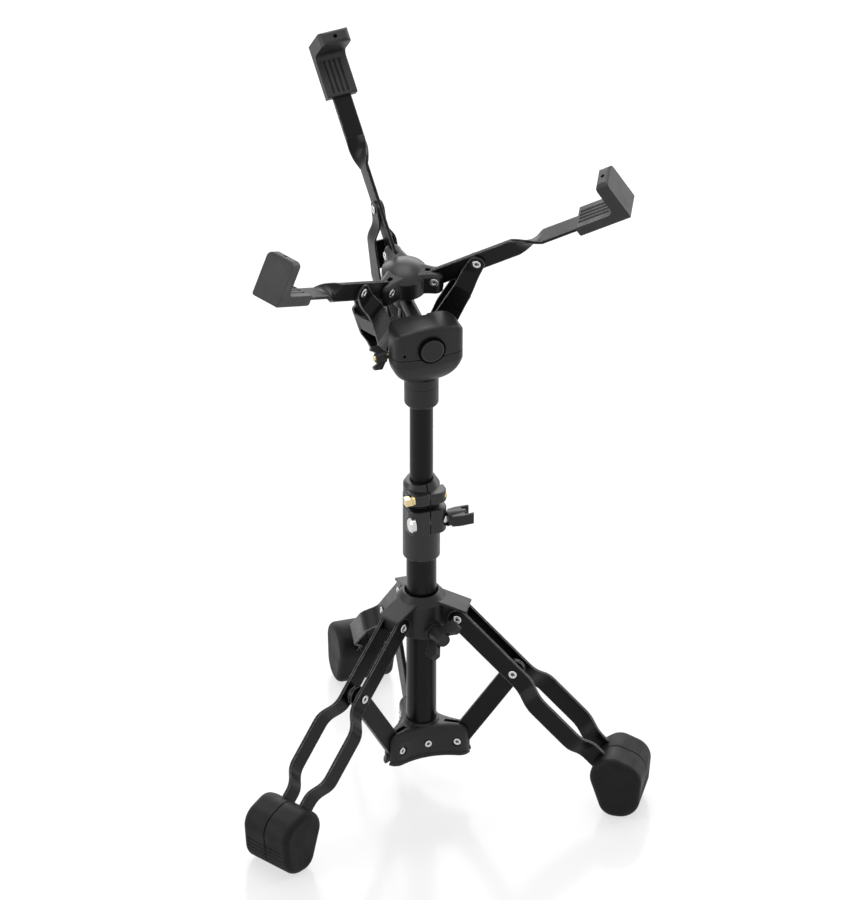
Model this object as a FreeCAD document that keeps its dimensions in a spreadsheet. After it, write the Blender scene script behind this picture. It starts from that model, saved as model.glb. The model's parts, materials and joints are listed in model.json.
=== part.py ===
"""Snare drum stand: folding tripod, telescoping column, ball tilter and three-armed basket.

Millimetres, +Z up. The origin is on the floor, on the column's axis. The legs and the basket's
arms point about along 90, 210 and 330 degrees, so the front of the stand, -Y, lies between two legs.
"""

import FreeCAD, Part
import math
import os
import Sketcher

V = FreeCAD.Vector
ORIGIN = V(0, 0, 0)
X_AXIS = V(1, 0, 0)
Y_AXIS = V(0, 1, 0)
Z_AXIS = V(0, 0, 1)
SPOKES = (90, 210, 330)
TINY = 1e-6
# Longer than any piece is wide: the reach of a cut that goes right through.
THROUGH = 60
# Turns an outline drawn in the XY plane upright, into the XZ plane.
UPRIGHT = FreeCAD.Placement(ORIGIN, FreeCAD.Rotation(X_AXIS, 90))
# Turns an outline drawn in the XY plane into the YZ plane.
SIDEWAYS = FreeCAD.Placement(ORIGIN, FreeCAD.Rotation(V(1, 1, 1), 120))
# Lays a turned piece, whose axis is Z, along Y, towards the front or along X.
ALONG_Y = FreeCAD.Rotation(X_AXIS, -90)
FRONTWARD = FreeCAD.Rotation(X_AXIS, 90)
ALONG_X = FreeCAD.Rotation(Y_AXIS, 90)
LEFTWARD = FreeCAD.Rotation(Y_AXIS, -90)

SIZES = (
    # fits
    ("running_gap", 0.06),
    ("side_gap", 0.3),
    # column tubes
    ("lower_tube_od", 28.6),
    ("lower_tube_wall", 1.4),
    ("lower_tube_length", 261.0),
    ("upper_tube_od", 22.2),
    ("upper_tube_wall", 1.5),
    ("upper_tube_length", 336.0),
    ("upper_tube_insert", 194.0),
    # flat steel and rivets of the tripod
    ("tripod_turn", -2.5),
    ("strap_width", 19.0),
    ("strap_thickness", 3.0),
    ("brace_thickness", 4.0),
    ("brace_length", 99.85),
    ("rivet_radius", 3.0),
    ("rivet_head_radius", 5.2),
    ("rivet_head_height", 1.9),
    # lower collar of the tripod
    ("collar_height", 31.0),
    ("collar_floor", 4.5),
    ("collar_pin_rise", 14.5),
    ("collar_lobe", 10.0),
    ("collar_waist", 21.5),
    ("collar_edge", 8.0),
    ("collar_neck", 2.0),
    ("collar_neck_wall", 2.2),
    ("collar_lip", 1.2),
    ("collar_lip_height", 3.0),
    ("brace_pin_reach", 37.0),
    ("brace_pin_radius", 2.5),
    ("brace_pin_seat", 9.0),
    # sliding hub of the tripod
    ("hub_drop", 19.0),
    ("hub_height", 41.8),
    ("hub_cone", 7.5),
    ("hub_radius", 24.0),
    ("hub_rim", 1.6),
    ("hub_mouth", 16.3),
    ("hub_mouth_depth", 3.2),
    ("hub_pivot_reach", 37.0),
    ("hub_ear_half", 7.2),
    ("hub_ear_reach", 44.0),
    ("hub_ear_drop", 10.0),
    ("hub_roof_half", 12.0),
    ("hub_roof_thickness", 2.6),
    ("hub_roof_over", 2.0),
    ("hub_roof_slope", 16.0),
    ("hub_screw_drop", 10.0),
    ("hub_screw_radius", 4.0),
    ("hub_screw_turn", 10.0),
    ("hub_boss_radius", 9.0),
    ("hub_boss_face", 29.0),
    ("hub_wing_span", 21.0),
    ("hub_wing_rise", 24.0),
    ("hub_wing_thickness", 5.5),
    ("hub_wing_hub", 7.5),
    ("hub_wing_turn", 45.0),
    # legs
    ("leg_end_height", 39.68),
    ("leg_spread", 45.0),
    ("leg_fold", 34.5),
    ("leg_length", 214.0),
    ("leg_brace_station", 76.4),
    ("leg_bow_lead", 8.0),
    ("leg_bow_ramp", 32.0),
    ("leg_bow_half", 21.5),
    ("leg_tail", 27.0),
    ("leg_tail_ramp", 29.0),
    ("leg_tail_half", 11.0),
    ("leg_tail_cover", 8.0),
    ("leg_bush_radius", 5.5),
    # rubber feet
    ("foot_offset", 7.0),
    ("foot_depth", 55.0),
    ("foot_height", 62.0),
    ("foot_width", 57.0),
    ("foot_edge", 6.0),
    ("foot_seam", 1.2),
    ("foot_groove", 1.1),
    ("foot_groove_pitch", 4.2),
    # height clamp
    ("clamp_cap", 16.0),
    ("clamp_height", 68.5),
    ("clamp_radius", 17.7),
    ("clamp_chamfer", 2.5),
    ("clamp_lug_drop", 7.0),
    ("clamp_lug_height", 26.0),
    ("clamp_bolt_drop", 21.0),
    ("clamp_bolt_radius", 3.8),
    ("clamp_bolt_tail", 16.0),
    ("lug_half", 19.0),
    ("lug_face", 25.5),
    ("lug_edge", 11.0),
    ("lug_round", 2.0),
    ("lug_root", 8.0),
    ("lug_bolt_depth", 20.0),
    ("lug_head_seat", 14.5),
    ("lug_nut_seat", 17.5),
    ("split_width", 1.2),
    ("split_start", 4.0),
    ("clamp_wing_span", 9.0),
    ("clamp_wing_rise", 26.5),
    ("clamp_wing_thickness", 11.0),
    ("clamp_wing_hub", 7.5),
    # memory lock
    ("lock_height", 18.0),
    ("lock_cone", 7.3),
    ("lock_slant", 6.0),
    ("lock_slant_depth", 1.9),
    ("lock_radius", 17.4),
    ("lock_top_radius", 13.0),
    ("lock_lug_height", 10.5),
    ("key_bolt_radius", 2.8),
    ("key_flange_radius", 5.0),
    ("key_flange_height", 2.0),
    ("key_head_half", 3.5),
    ("key_head_height", 7.0),
    # tilter housing
    ("neck_drop", 28.0),
    ("neck_length", 31.0),
    ("neck_radius", 16.2),
    ("neck_round", 3.0),
    ("neck_groove_drop", 10.0),
    ("neck_groove", 0.6),
    ("bowl_height", 23.0),
    ("rim_height", 9.0),
    ("seam_groove", 1.1),
    ("hood_height", 31.0),
    ("hood_shoulder", 6.0),
    ("hood_round", 4.0),
    ("hood_back_round", 16.0),
    ("shell_half", 34.5),
    ("shell_front", 30.0),
    ("shell_back", 11.0),
    ("shell_corner", 9.0),
    ("shell_back_corner", 20.0),
    ("disc_radius", 11.4),
    ("disc_rise", 8.5),
    ("disc_proud", 1.6),
    ("disc_depth", 4.0),
    ("shell_screw_radius", 1.6),
    ("shell_screw_depth", 5.0),
    ("shell_screw_side", 25.5),
    ("shell_screw_rise", 4.6),
    ("tilter_bolt_radius", 3.0),
    ("tilter_bolt_drop", 7.5),
    ("tilter_bolt_back", 2.0),
    ("tilter_bolt_tail", 12.0),
    ("tilter_bolt_head", 3.4),
    ("tilter_wing_span", 11.5),
    ("tilter_wing_rise", 14.0),
    ("tilter_wing_thickness", 6.0),
    ("tilter_wing_hub", 5.5),
    ("tilter_wing_turn", 30.0),
    # ball joint that carries the basket
    ("ball_radius", 11.0),
    ("ball_liner", 2.0),
    ("ball_rise", 15.0),
    ("ball_front", 4.0),
    ("peg_radius", 2.5),
    ("peg_length", 3.0),
    ("stem_radius", 6.5),
    ("basket_setback", 53.0),
    ("basket_tilt", 12.1),
    ("basket_roll", -3.0),
    ("basket_turn", 2.6),
    # basket core
    ("rod_radius", 5.0),
    ("rod_tail", 10.0),
    ("boss_radius", 10.0),
    ("boss_drop", 9.0),
    ("boss_round", 2.0),
    ("spider_rise", 27.7),
    ("spider_pivot_reach", 28.8),
    ("spider_lobe", 8.2),
    ("spider_pin_seat", 7.2),
    ("spider_waist", 16.5),
    ("spider_dome", 21.5),
    ("spider_dome_ball", 32.0),
    ("spider_dome_rise", 4.0),
    ("spider_under", 15.0),
    ("spider_over", 8.0),
    ("spider_edge", 4.5),
    ("spider_foot_edge", 2.0),
    ("spider_slot_room", 0.6),
    ("slider_pivot_reach", 29.0),
    ("slider_half_height", 8.0),
    ("slider_radius", 14.0),
    ("slider_tongue_half", 5.2),
    ("basket_pin_radius", 2.5),
    ("basket_head_radius", 4.4),
    ("basket_head_height", 1.6),
    ("nut_radius", 12.0),
    ("nut_height", 11.0),
    ("nut_flute", 1.6),
    # basket arms and links
    ("arm_rise", 33.1),
    ("arm_fold", 46.1),
    ("arm_width", 18.0),
    ("arm_thickness", 3.5),
    ("arm_link_station", 46.0),
    ("arm_twist_lead", 42.0),
    ("arm_twist_length", 30.0),
    ("arm_length", 197.0),
    ("link_length", 102.55),
    ("link_plate", 2.0),
    ("link_foot_half", 10.0),
    ("link_flare_half", 11.5),
    ("link_head_half", 7.5),
    ("link_bow_half", 10.4),
    ("link_web_depth", 10.3),
    # rubber claws
    ("claw_grip", 38.3),
    ("claw_length", 54.5),
    ("claw_half", 15.0),
    ("claw_under", 5.6),
    ("claw_pad", 11.5),
    ("claw_block", 13.0),
    ("claw_height", 45.5),
    ("claw_edge", 3.0),
    ("claw_top_edge", 6.0),
    ("claw_groove", 1.7),
    ("claw_hole_radius", 2.0),
    ("claw_hole_depth", 6.0),
)

CLAW_GROOVES = 4
NUT_FLUTES = 14
TWIST_STEPS = 6

document = FreeCAD.newDocument("SnareDrumStand")
sheet = document.addObject("Spreadsheet::Sheet", "Sizes")
for row, (alias, value) in enumerate(SIZES, start=1):
    sheet.set("A%d" % row, alias)
    sheet.set("B%d" % row, str(value))
    sheet.setAlias("B%d" % row, alias)
document.recompute()


class Sizes:
    """The sheet's values, read by alias."""

    def __init__(self):
        for alias, _ in SIZES:
            setattr(self, alias, float(sheet.get(alias)))


d = Sizes()
pieces = []


# Placing and shaping helpers

def at(x, y, z, rotation=None):
    """Placement at a point, turned by a rotation if one is given."""
    return FreeCAD.Placement(V(x, y, z), rotation or FreeCAD.Rotation())


def spoke(angle):
    """Frame of one leg or arm: X points outwards, Z up."""
    return FreeCAD.Placement(ORIGIN, FreeCAD.Rotation(Z_AXIS, angle))


def polar(radius, angle):
    """Point in the XY plane, at a radius and an angle in degrees."""
    return V(radius * math.cos(math.radians(angle)), radius * math.sin(math.radians(angle)), 0)


def moved(shape, placement):
    """Copy of a shape, carried by a placement."""
    copy = shape.copy()
    copy.Placement = placement.multiply(copy.Placement)
    return copy


def rod(radius, start, end):
    """Round bar between two points."""
    return Part.makeCylinder(radius, (end - start).Length, start, end - start)


def block(low, high):
    """Rectangular block between two opposite corners."""
    return Part.makeBox(high.x - low.x, high.y - low.y, high.z - low.z, low)


def rounded_outline(corners):
    """Closed outline in the XY plane through corners (x, y, radius), each rounded by its radius."""
    points = [V(x, y, 0) for x, y, _ in corners]
    count = len(corners)
    spans = []
    for i, (_, _, radius) in enumerate(corners):
        here = points[i]
        back = (points[i - 1] - here).normalize()
        ahead = (points[(i + 1) % count] - here).normalize()
        half = back.getAngle(ahead) / 2
        reach = radius / math.tan(half)
        inwards = (back + ahead).normalize()
        middle = here + inwards * (radius / math.sin(half) - radius)
        spans.append((here + back * reach, middle, here + ahead * reach))
    edges = []
    for i in range(count):
        begin, middle, end = spans[i]
        if corners[i][2] > 0:
            edges.append(Part.Arc(begin, middle, end).toShape())
        following = spans[(i + 1) % count][0]
        if (following - end).Length > TINY:
            edges.append(Part.makeLine(end, following))
    return Part.Wire(edges)


def lobed_outline(reach, lobe, waist):
    """Three round lobes on the spokes, joined by hollow arcs that are tangent to them."""
    hollow = (reach ** 2 + waist ** 2 - reach * waist - lobe ** 2) / (reach + 2 * lobe - 2 * waist)
    edges = []
    for angle in SPOKES:
        centre = polar(reach, angle)
        before = polar(waist + hollow, angle - 60)
        after = polar(waist + hollow, angle + 60)
        share = lobe / (lobe + hollow)
        enter = centre + (before - centre) * share
        leave = centre + (after - centre) * share
        next_centre = polar(reach, angle + 120)
        next_enter = next_centre + (after - next_centre) * share
        edges.append(Part.Arc(enter, polar(reach + lobe, angle), leave).toShape())
        edges.append(Part.Arc(leave, polar(waist, angle + 60), next_enter).toShape())
    return Part.Wire(edges)


def slab(wire, low, high, lay=None):
    """Solid between two heights of an outline drawn in the XY plane, then laid by a placement."""
    solid = Part.Face(wire).extrude(V(0, 0, high - low))
    solid.translate(V(0, 0, low))
    return moved(solid, lay) if lay else solid


def strip_edges(stations, shift):
    """Run of lines and smooth steps through stations (along, offset), shifted across."""
    edges = []
    for (from_x, from_y), (to_x, to_y) in zip(stations, stations[1:]):
        start = V(from_x, from_y + shift, 0)
        end = V(to_x, to_y + shift, 0)
        if abs(to_y - from_y) < TINY:
            edges.append(Part.makeLine(start, end))
        else:
            middle = (from_x + to_x) / 2
            step = Part.BezierCurve()
            step.setPoles([start, V(middle, start.y, 0), V(middle, end.y, 0), end])
            edges.append(step.toShape())
    return edges


def bent_strip(stations, thickness, width):
    """Flat bar bent along stations in the XY plane, its width centred on Z."""
    near = strip_edges(stations, -thickness / 2)
    far = strip_edges(stations, thickness / 2)
    ends = []
    for x, y in (stations[0], stations[-1]):
        ends.append(Part.makeLine(V(x, y - thickness / 2, 0), V(x, y + thickness / 2, 0)))
    wire = Part.Wire(Part.__sortEdges__(near + far + ends))
    return slab(wire, -width / 2, width / 2)


def carve(solid, tools):
    """Solid with several tools cut away, one after another."""
    for tool in tools:
        solid = solid.cut(tool)
    return solid


def side_edges(shape, axis, level):
    """Edges of a shape that lie wholly at one level of an axis (0, 1 or 2)."""
    found = []
    for edge in shape.Edges:
        box = edge.BoundBox
        low = (box.XMin, box.YMin, box.ZMin)[axis]
        high = (box.XMax, box.YMax, box.ZMax)[axis]
        if abs(low - level) < 0.01 and abs(high - level) < 0.01:
            found.append(edge)
    return found


# Document objects

def piece(label, shape, placement=None):
    """Sub-part whose shape is worked out from the sheet's values."""
    feature = document.addObject("Part::Feature", label)
    feature.Label = label
    feature.Shape = shape
    if placement:
        feature.Placement = placement
    pieces.append(feature)
    return feature


def turned_body(label, profile):
    """Body turned round its Z axis; profile lists (radius, height) expressions round the section."""
    body = document.addObject("PartDesign::Body", label)
    plane = [item for item in body.Origin.OriginFeatures if item.Role == "XZ_Plane"][0]
    sketch = body.newObject("Sketcher::SketchObject", label + "_section")
    sketch.AttachmentSupport = [(plane, "")]
    sketch.MapMode = "FlatFace"
    count = len(profile)
    seeds = [polar(10, 360 * i / count) + V(20, 0, 0) for i in range(count)]
    for i in range(count):
        sketch.addGeometry(Part.LineSegment(seeds[i], seeds[(i + 1) % count]), False)
    for i in range(count):
        sketch.addConstraint(Sketcher.Constraint("Coincident", i, 2, (i + 1) % count, 1))
    for i, (radius, height) in enumerate(profile):
        across = ("DistanceX", -2, radius, seeds[i].x)
        upwards = ("DistanceY", -1, height, seeds[i].y)
        for kind, axis, text, start in (across, upwards):
            if text == "0":
                sketch.addConstraint(Sketcher.Constraint("PointOnObject", i, 1, axis))
            else:
                index = sketch.addConstraint(Sketcher.Constraint(kind, -1, 1, i, 1, start))
                sketch.setExpression("Constraints[%d]" % index, text)
    turn = body.newObject("PartDesign::Revolution", label + "_turn")
    turn.Profile = sketch
    turn.ReferenceAxis = (sketch, ["V_Axis"])
    turn.Angle = 360
    body.Tip = turn
    return body


def turned(label, profile, placement=None):
    """Sub-part turned round an axis, carried by a placement."""
    body = turned_body(label, profile)
    body.Label = label
    if placement:
        body.Placement = placement
    pieces.append(body)
    return body


def set_of(label, profile, placements):
    """Sub-part of several equal turned pieces, as one group of separate solids."""
    pattern = turned_body(label + "_one", profile)
    document.recompute()
    return piece(label, Part.makeCompound([moved(pattern.Shape, place) for place in placements]))


def rivet_profile(radius, half, head_radius, head_height):
    """Section of a semi-tubular rivet with a low head at each end, from expressions of its sizes."""
    lift = "(%s + %s)" % (half, head_height)
    shoulder = "(%s + %s * 0.45)" % (half, head_height)
    hollow_floor = "(%s + %s * 0.4)" % (half, head_height)
    crown = "%s * 0.75" % head_radius
    hollow = "%s * 0.55" % radius
    upper = [
        (radius, half), (head_radius, half), (head_radius, shoulder), (crown, lift), (hollow, lift),
        (hollow, hollow_floor), ("0", hollow_floor),
    ]
    lower = [(across, "-" + height) for across, height in reversed(upper)]
    return lower + upper


def wing(span, rise, thickness, hub_radius):
    """Wing nut or screw head: a tapered hub with two rounded wings, standing on its seat at Z = 0."""
    root = 0.12 * rise
    shoulder = 0.42 * rise
    saddle = 0.62 * rise
    neck = 0.9 * hub_radius
    soft = 0.12 * span
    ear = [
        (hub_radius, root, 1), (span, shoulder, soft), (0.97 * span, 0.9 * rise, soft),
        (0.66 * span, rise, soft), (neck, saddle, soft),
    ]
    ears = rounded_outline(ear + [(-across, upwards, radius) for across, upwards, radius in reversed(ear)])
    wings = slab(ears, -thickness / 2, thickness / 2, UPRIGHT)
    hub = Part.makeCone(hub_radius, 0.82 * hub_radius, 0.72 * rise)
    return hub.fuse(wings)


def wing_nut(span, rise, thickness, hub_radius, bore_radius):
    """Wing nut, bored right through."""
    bore = rod(bore_radius, V(0, 0, -1), V(0, 0, rise))
    return wing(span, rise, thickness, hub_radius).cut(bore).removeSplitter()


# Tripod linkage. In each leg's plane the hub pivot, the brace pivot and the collar pin make a triangle.

def plane_point(origin, length, angle_from_down):
    """Point in a leg's plane, at a length from an origin, at an angle out from straight down."""
    swing = math.radians(angle_from_down)
    return (origin[0] + length * math.sin(swing), origin[1] - length * math.cos(swing))


def lean_of(foot, head):
    """Angle of a bar from straight up, outwards, from its foot to its head."""
    return math.degrees(math.atan2(head[0] - foot[0], head[1] - foot[1]))


def brace_rise(reach):
    """Height of the brace's head over its pin, where the head is at a reach from the column."""
    return math.sqrt(d.brace_length ** 2 - (reach - d.brace_pin_reach) ** 2)


spread = math.radians(d.leg_spread)
leg_end_reach = d.hub_pivot_reach + d.leg_length * math.sin(spread)
hub_pivot = (d.hub_pivot_reach, d.leg_end_height + d.leg_length * math.cos(spread))
brace_pivot = plane_point(hub_pivot, d.leg_brace_station, d.leg_spread)
collar_pin = (d.brace_pin_reach, brace_pivot[1] - brace_rise(brace_pivot[0]))
brace_lean = lean_of(collar_pin, brace_pivot)

folded_spread = d.leg_spread - d.leg_fold
folded_reach = d.hub_pivot_reach + d.leg_brace_station * math.sin(math.radians(folded_spread))
folded_pivot = (folded_reach, collar_pin[1] + brace_rise(folded_reach))
folded_lean = lean_of(collar_pin, folded_pivot)
hub_travel = folded_pivot[1] + d.leg_brace_station * math.cos(math.radians(folded_spread)) - hub_pivot[1]


def pin_drift(share):
    """Place of the collar pin in the brace's own frame, part of the way through an even fold."""
    top = (hub_pivot[0], hub_pivot[1] + hub_travel * share)
    pivot = plane_point(top, d.leg_brace_station, d.leg_spread - d.leg_fold * share)
    lean = math.radians(brace_lean + (folded_lean - brace_lean) * share)
    dr = collar_pin[0] - pivot[0]
    dz = collar_pin[1] - pivot[1]
    along = d.brace_length + dr * math.sin(lean) + dz * math.cos(lean)
    across = dz * math.sin(lean) - dr * math.cos(lean)
    return along, across


# Basket linkage, in the plane of each arm: spider pivot, link rivet on the arm, slider pivot.

def rivet_at(rise):
    """Place of the link's rivet with the arm at a rise above its spider's plane."""
    swing = math.radians(rise)
    reach = d.spider_pivot_reach + d.arm_link_station * math.cos(swing)
    return (reach, d.arm_link_station * math.sin(swing))


def slider_at(rivet):
    """Place of the slider's pivot under a link's rivet."""
    inset = rivet[0] - d.slider_pivot_reach
    return (d.slider_pivot_reach, rivet[1] - math.sqrt(d.link_length ** 2 - inset ** 2))


closed_rise = d.arm_rise + d.arm_fold
arm_pivot = (d.spider_pivot_reach, 0.0)
slider_pivot = slider_at(rivet_at(d.arm_rise))
closed_slider = slider_at(rivet_at(closed_rise))
link_lean = lean_of(slider_pivot, rivet_at(d.arm_rise))
closed_lean = lean_of(closed_slider, rivet_at(closed_rise))
slider_drop = -slider_pivot[1]
slider_travel = closed_slider[1] - slider_pivot[1]


def rivet_drift(share):
    """Place of the link's rivet in the arm's own frame, part of the way through an even closing."""
    lean = math.radians(link_lean + (closed_lean - link_lean) * share)
    rise = math.radians(d.arm_rise + d.arm_fold * share)
    dr = slider_pivot[0] + d.link_length * math.sin(lean) - arm_pivot[0]
    dz = slider_pivot[1] + slider_travel * share + d.link_length * math.cos(lean)
    return dr * math.cos(rise) + dz * math.sin(rise), dz * math.cos(rise) - dr * math.sin(rise)


def drift_slot(drift, radius):
    """Outline of the slot that a pin needs as it drifts through an even motion."""
    steps = 20
    track = [drift(step / steps) for step in range(steps + 1)]
    room = radius + d.side_gap
    low_x = min(point[0] for point in track) - room
    high_x = max(point[0] for point in track) + room
    low_y = min(point[1] for point in track) - room
    high_y = max(point[1] for point in track) + room
    corner = room - TINY * 10
    return rounded_outline([
        (low_x, low_y, corner), (high_x, low_y, corner), (high_x, high_y, corner), (low_x, high_y, corner),
    ])


# Heights up the column, from the floor

fit = d.running_gap
tube_radius = d.lower_tube_od / 2
mast_radius = d.upper_tube_od / 2
collar_foot = collar_pin[1] - d.collar_pin_rise
tube_foot = collar_foot + d.collar_floor
tube_head = tube_foot + d.lower_tube_length
hub_foot = hub_pivot[1] - d.hub_drop
hub_screw_height = hub_pivot[1] - d.hub_screw_drop
clamp_head = tube_head + d.clamp_cap
clamp_foot = clamp_head - d.clamp_height
clamp_bolt_height = clamp_head - d.clamp_bolt_drop
lock_foot = clamp_head + d.side_gap
key_height = lock_foot + d.lock_lug_height / 2
mast_foot = tube_head - d.upper_tube_insert
mast_head = mast_foot + d.upper_tube_length
neck_foot = mast_head - d.neck_drop
bowl_foot = neck_foot + d.neck_length
shoulder_height = bowl_foot + d.bowl_height
seam_height = shoulder_height + d.rim_height
crown_height = seam_height + d.hood_height
disc_height = seam_height + d.disc_rise
tilter_bolt_height = seam_height - d.tilter_bolt_drop


# Frames of the moving groups at rest

tripod = spoke(d.tripod_turn)
screw_turn = spoke(d.hub_screw_turn)


def leg_spoke(angle):
    """Frame of one leg's upright plane."""
    return tripod.multiply(spoke(angle))


def leg_frame(angle):
    """Leg's frame: origin on the hub pivot, X down along the leg, Y across it."""
    tip = FreeCAD.Rotation(Y_AXIS, 90 - d.leg_spread)
    return leg_spoke(angle).multiply(at(hub_pivot[0], 0, hub_pivot[1], tip))


def brace_frame(angle):
    """Brace's frame: origin on the collar pin, X up along the brace."""
    tip = FreeCAD.Rotation(Y_AXIS, brace_lean - 90)
    return leg_spoke(angle).multiply(at(collar_pin[0], 0, collar_pin[1], tip))


ball_centre = V(0, -d.ball_front, seam_height + d.ball_rise)
tilt_turn = FreeCAD.Rotation(X_AXIS, d.basket_tilt)
roll_turn = FreeCAD.Rotation(Y_AXIS, d.basket_roll)
basket = FreeCAD.Placement(ball_centre, tilt_turn.multiply(roll_turn))
basket_axis = basket.multiply(at(0, d.basket_setback, 0, FreeCAD.Rotation(Z_AXIS, d.basket_turn)))
spider_frame = basket_axis.multiply(at(0, 0, d.spider_rise))
slider_frame = spider_frame.multiply(at(0, 0, -slider_drop))


def arm_frame(angle):
    """Arm's frame: origin on the spider pivot, X out along the arm, Y across it."""
    tip = FreeCAD.Rotation(Y_AXIS, -d.arm_rise)
    return spider_frame.multiply(spoke(angle)).multiply(at(arm_pivot[0], 0, 0, tip))


def link_frame(angle):
    """Link's frame: origin on the slider pivot, X up along the link."""
    tip = FreeCAD.Rotation(Y_AXIS, link_lean - 90)
    return slider_frame.multiply(spoke(angle)).multiply(at(slider_pivot[0], 0, 0, tip))


# Column

def tube_profile(name):
    """Section of a plain tube from its sheet sizes, standing on its foot."""
    outer = "Sizes.%s_od / 2" % name
    inner = "Sizes.%s_od / 2 - Sizes.%s_wall" % (name, name)
    head = "Sizes.%s_length" % name
    return [(inner, "0"), (outer, "0"), (outer, head), (inner, head)]


def lower_tube():
    """Fixed tube of the column, drilled for the collar's fixing rivet."""
    tube = turned_body("lower_tube_stock", tube_profile("lower_tube"))
    tube.Placement = at(0, 0, tube_foot)
    drill = document.addObject("Part::Cylinder", "lower_tube_drill")
    drill.setExpression("Radius", "Sizes.brace_pin_radius + Sizes.running_gap")
    drill.setExpression("Height", "Sizes.lower_tube_od")
    drill.Placement = tripod.multiply(at(0, 0, collar_pin[1], FRONTWARD))
    drilled = document.addObject("Part::Cut", "lower_tube")
    drilled.Base = tube
    drilled.Tool = drill
    drilled.Label = "lower_tube"
    pieces.append(drilled)


def upper_tube():
    """Sliding tube of the column."""
    turned("upper_tube", tube_profile("upper_tube"), at(0, 0, mast_foot))


def brace_collar():
    """Moulded three-lobed collar at the foot of the tube, slotted for the braces."""
    head = collar_foot + d.collar_height
    plan = lobed_outline(d.brace_pin_reach, d.collar_lobe, d.collar_waist)
    solid = slab(plan, collar_foot, head)
    solid = solid.makeFillet(d.collar_edge, side_edges(solid, 2, head))
    lip_top = collar_foot + d.collar_lip_height
    lip_plan = lobed_outline(d.brace_pin_reach, d.collar_lobe + d.collar_lip, d.collar_waist + d.collar_lip)
    lip = slab(lip_plan, collar_foot, lip_top)
    lip = lip.makeFillet(d.collar_lip - d.side_gap, side_edges(lip, 2, lip_top))
    neck = rod(tube_radius + d.collar_neck_wall, V(0, 0, lip_top), V(0, 0, head + d.collar_neck))
    solid = solid.fuse([lip, neck])
    solid = solid.cut(rod(tube_radius, V(0, 0, tube_foot), V(0, 0, head + THROUGH)))
    half = d.brace_thickness / 2 + d.side_gap
    inner = d.brace_pin_reach - d.strap_width / 2 - d.brace_pin_radius * 2
    pin = V(d.brace_pin_reach, 0, collar_pin[1])
    for angle in SPOKES:
        slot = block(V(inner, -half, collar_foot - 1), V(inner + THROUGH, half, head + THROUGH))
        hole = rod(d.brace_pin_radius + fit, pin - Y_AXIS * THROUGH / 2, pin + Y_AXIS * THROUGH / 2)
        tools = [slot, hole]
        for side in (-Y_AXIS, Y_AXIS):
            tools.append(rod(d.rivet_head_radius, pin + side * d.brace_pin_seat, pin + side * THROUGH / 2))
        solid = carve(solid, [moved(tool, spoke(angle)) for tool in tools])
    axis = V(0, 0, collar_pin[1])
    drill = rod(d.brace_pin_radius + fit, axis, axis - Y_AXIS * THROUGH)
    spot = rod(d.rivet_head_radius, axis - Y_AXIS * d.collar_waist, axis - Y_AXIS * THROUGH)
    piece("brace_collar", carve(solid, [drill, spot]).removeSplitter(), tripod)


def brace_pins():
    """Rivets across the collar's three slots."""
    head = "(Sizes.rivet_head_radius * 0.88)"
    profile = rivet_profile("Sizes.brace_pin_radius", "Sizes.brace_pin_seat", head, "Sizes.rivet_head_height")
    across = at(d.brace_pin_reach, 0, collar_pin[1], ALONG_Y)
    set_of("brace_pins", profile, [leg_spoke(angle).multiply(across) for angle in SPOKES])


def collar_rivet():
    """Rivet that fixes the collar to the tube at the front."""
    shank = "Sizes.brace_pin_radius"
    head = "Sizes.rivet_head_radius * 0.8"
    crown = "Sizes.rivet_head_radius * 0.5"
    tail = "Sizes.lower_tube_od / 2 - Sizes.lower_tube_wall"
    seat = "Sizes.collar_waist"
    shoulder = seat + " + Sizes.rivet_head_height * 0.5"
    top = seat + " + Sizes.rivet_head_height"
    profile = [
        ("0", tail), (shank, tail), (shank, seat), (head, seat), (head, shoulder), (crown, top), ("0", top),
    ]
    turned("collar_rivet", profile, tripod.multiply(at(0, 0, collar_pin[1], FRONTWARD)))


# Sliding hub and its clamping screw

def hub_ear_outlines():
    """Upright outlines of a hub's ear and of the sloping roof over it, clear of the strap's round end."""
    slope = math.tan(math.radians(d.hub_roof_slope))
    lift = (d.strap_width / 2 + d.side_gap) / math.cos(math.radians(d.hub_roof_slope))
    inner = tube_radius + 1
    ear_end = d.hub_ear_reach
    roof_end = d.hub_ear_reach + d.hub_roof_over
    thickness = d.hub_roof_thickness

    def under(reach):
        """Height of the roof's lower face at a reach from the column."""
        return hub_pivot[1] + lift - (reach - hub_pivot[0]) * slope

    ear = rounded_outline([
        (inner, hub_pivot[1] - d.hub_ear_drop, 0), (ear_end, hub_pivot[1] - d.hub_ear_drop, d.hub_ear_half),
        (ear_end, under(ear_end) + thickness / 2, 0), (inner, under(inner) + thickness / 2, 0),
    ])
    roof = rounded_outline([
        (inner, under(inner), 0), (roof_end, under(roof_end), thickness / 3),
        (roof_end, under(roof_end) + thickness, thickness / 3), (inner, under(inner) + thickness, 0),
    ])
    return ear, roof


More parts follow.
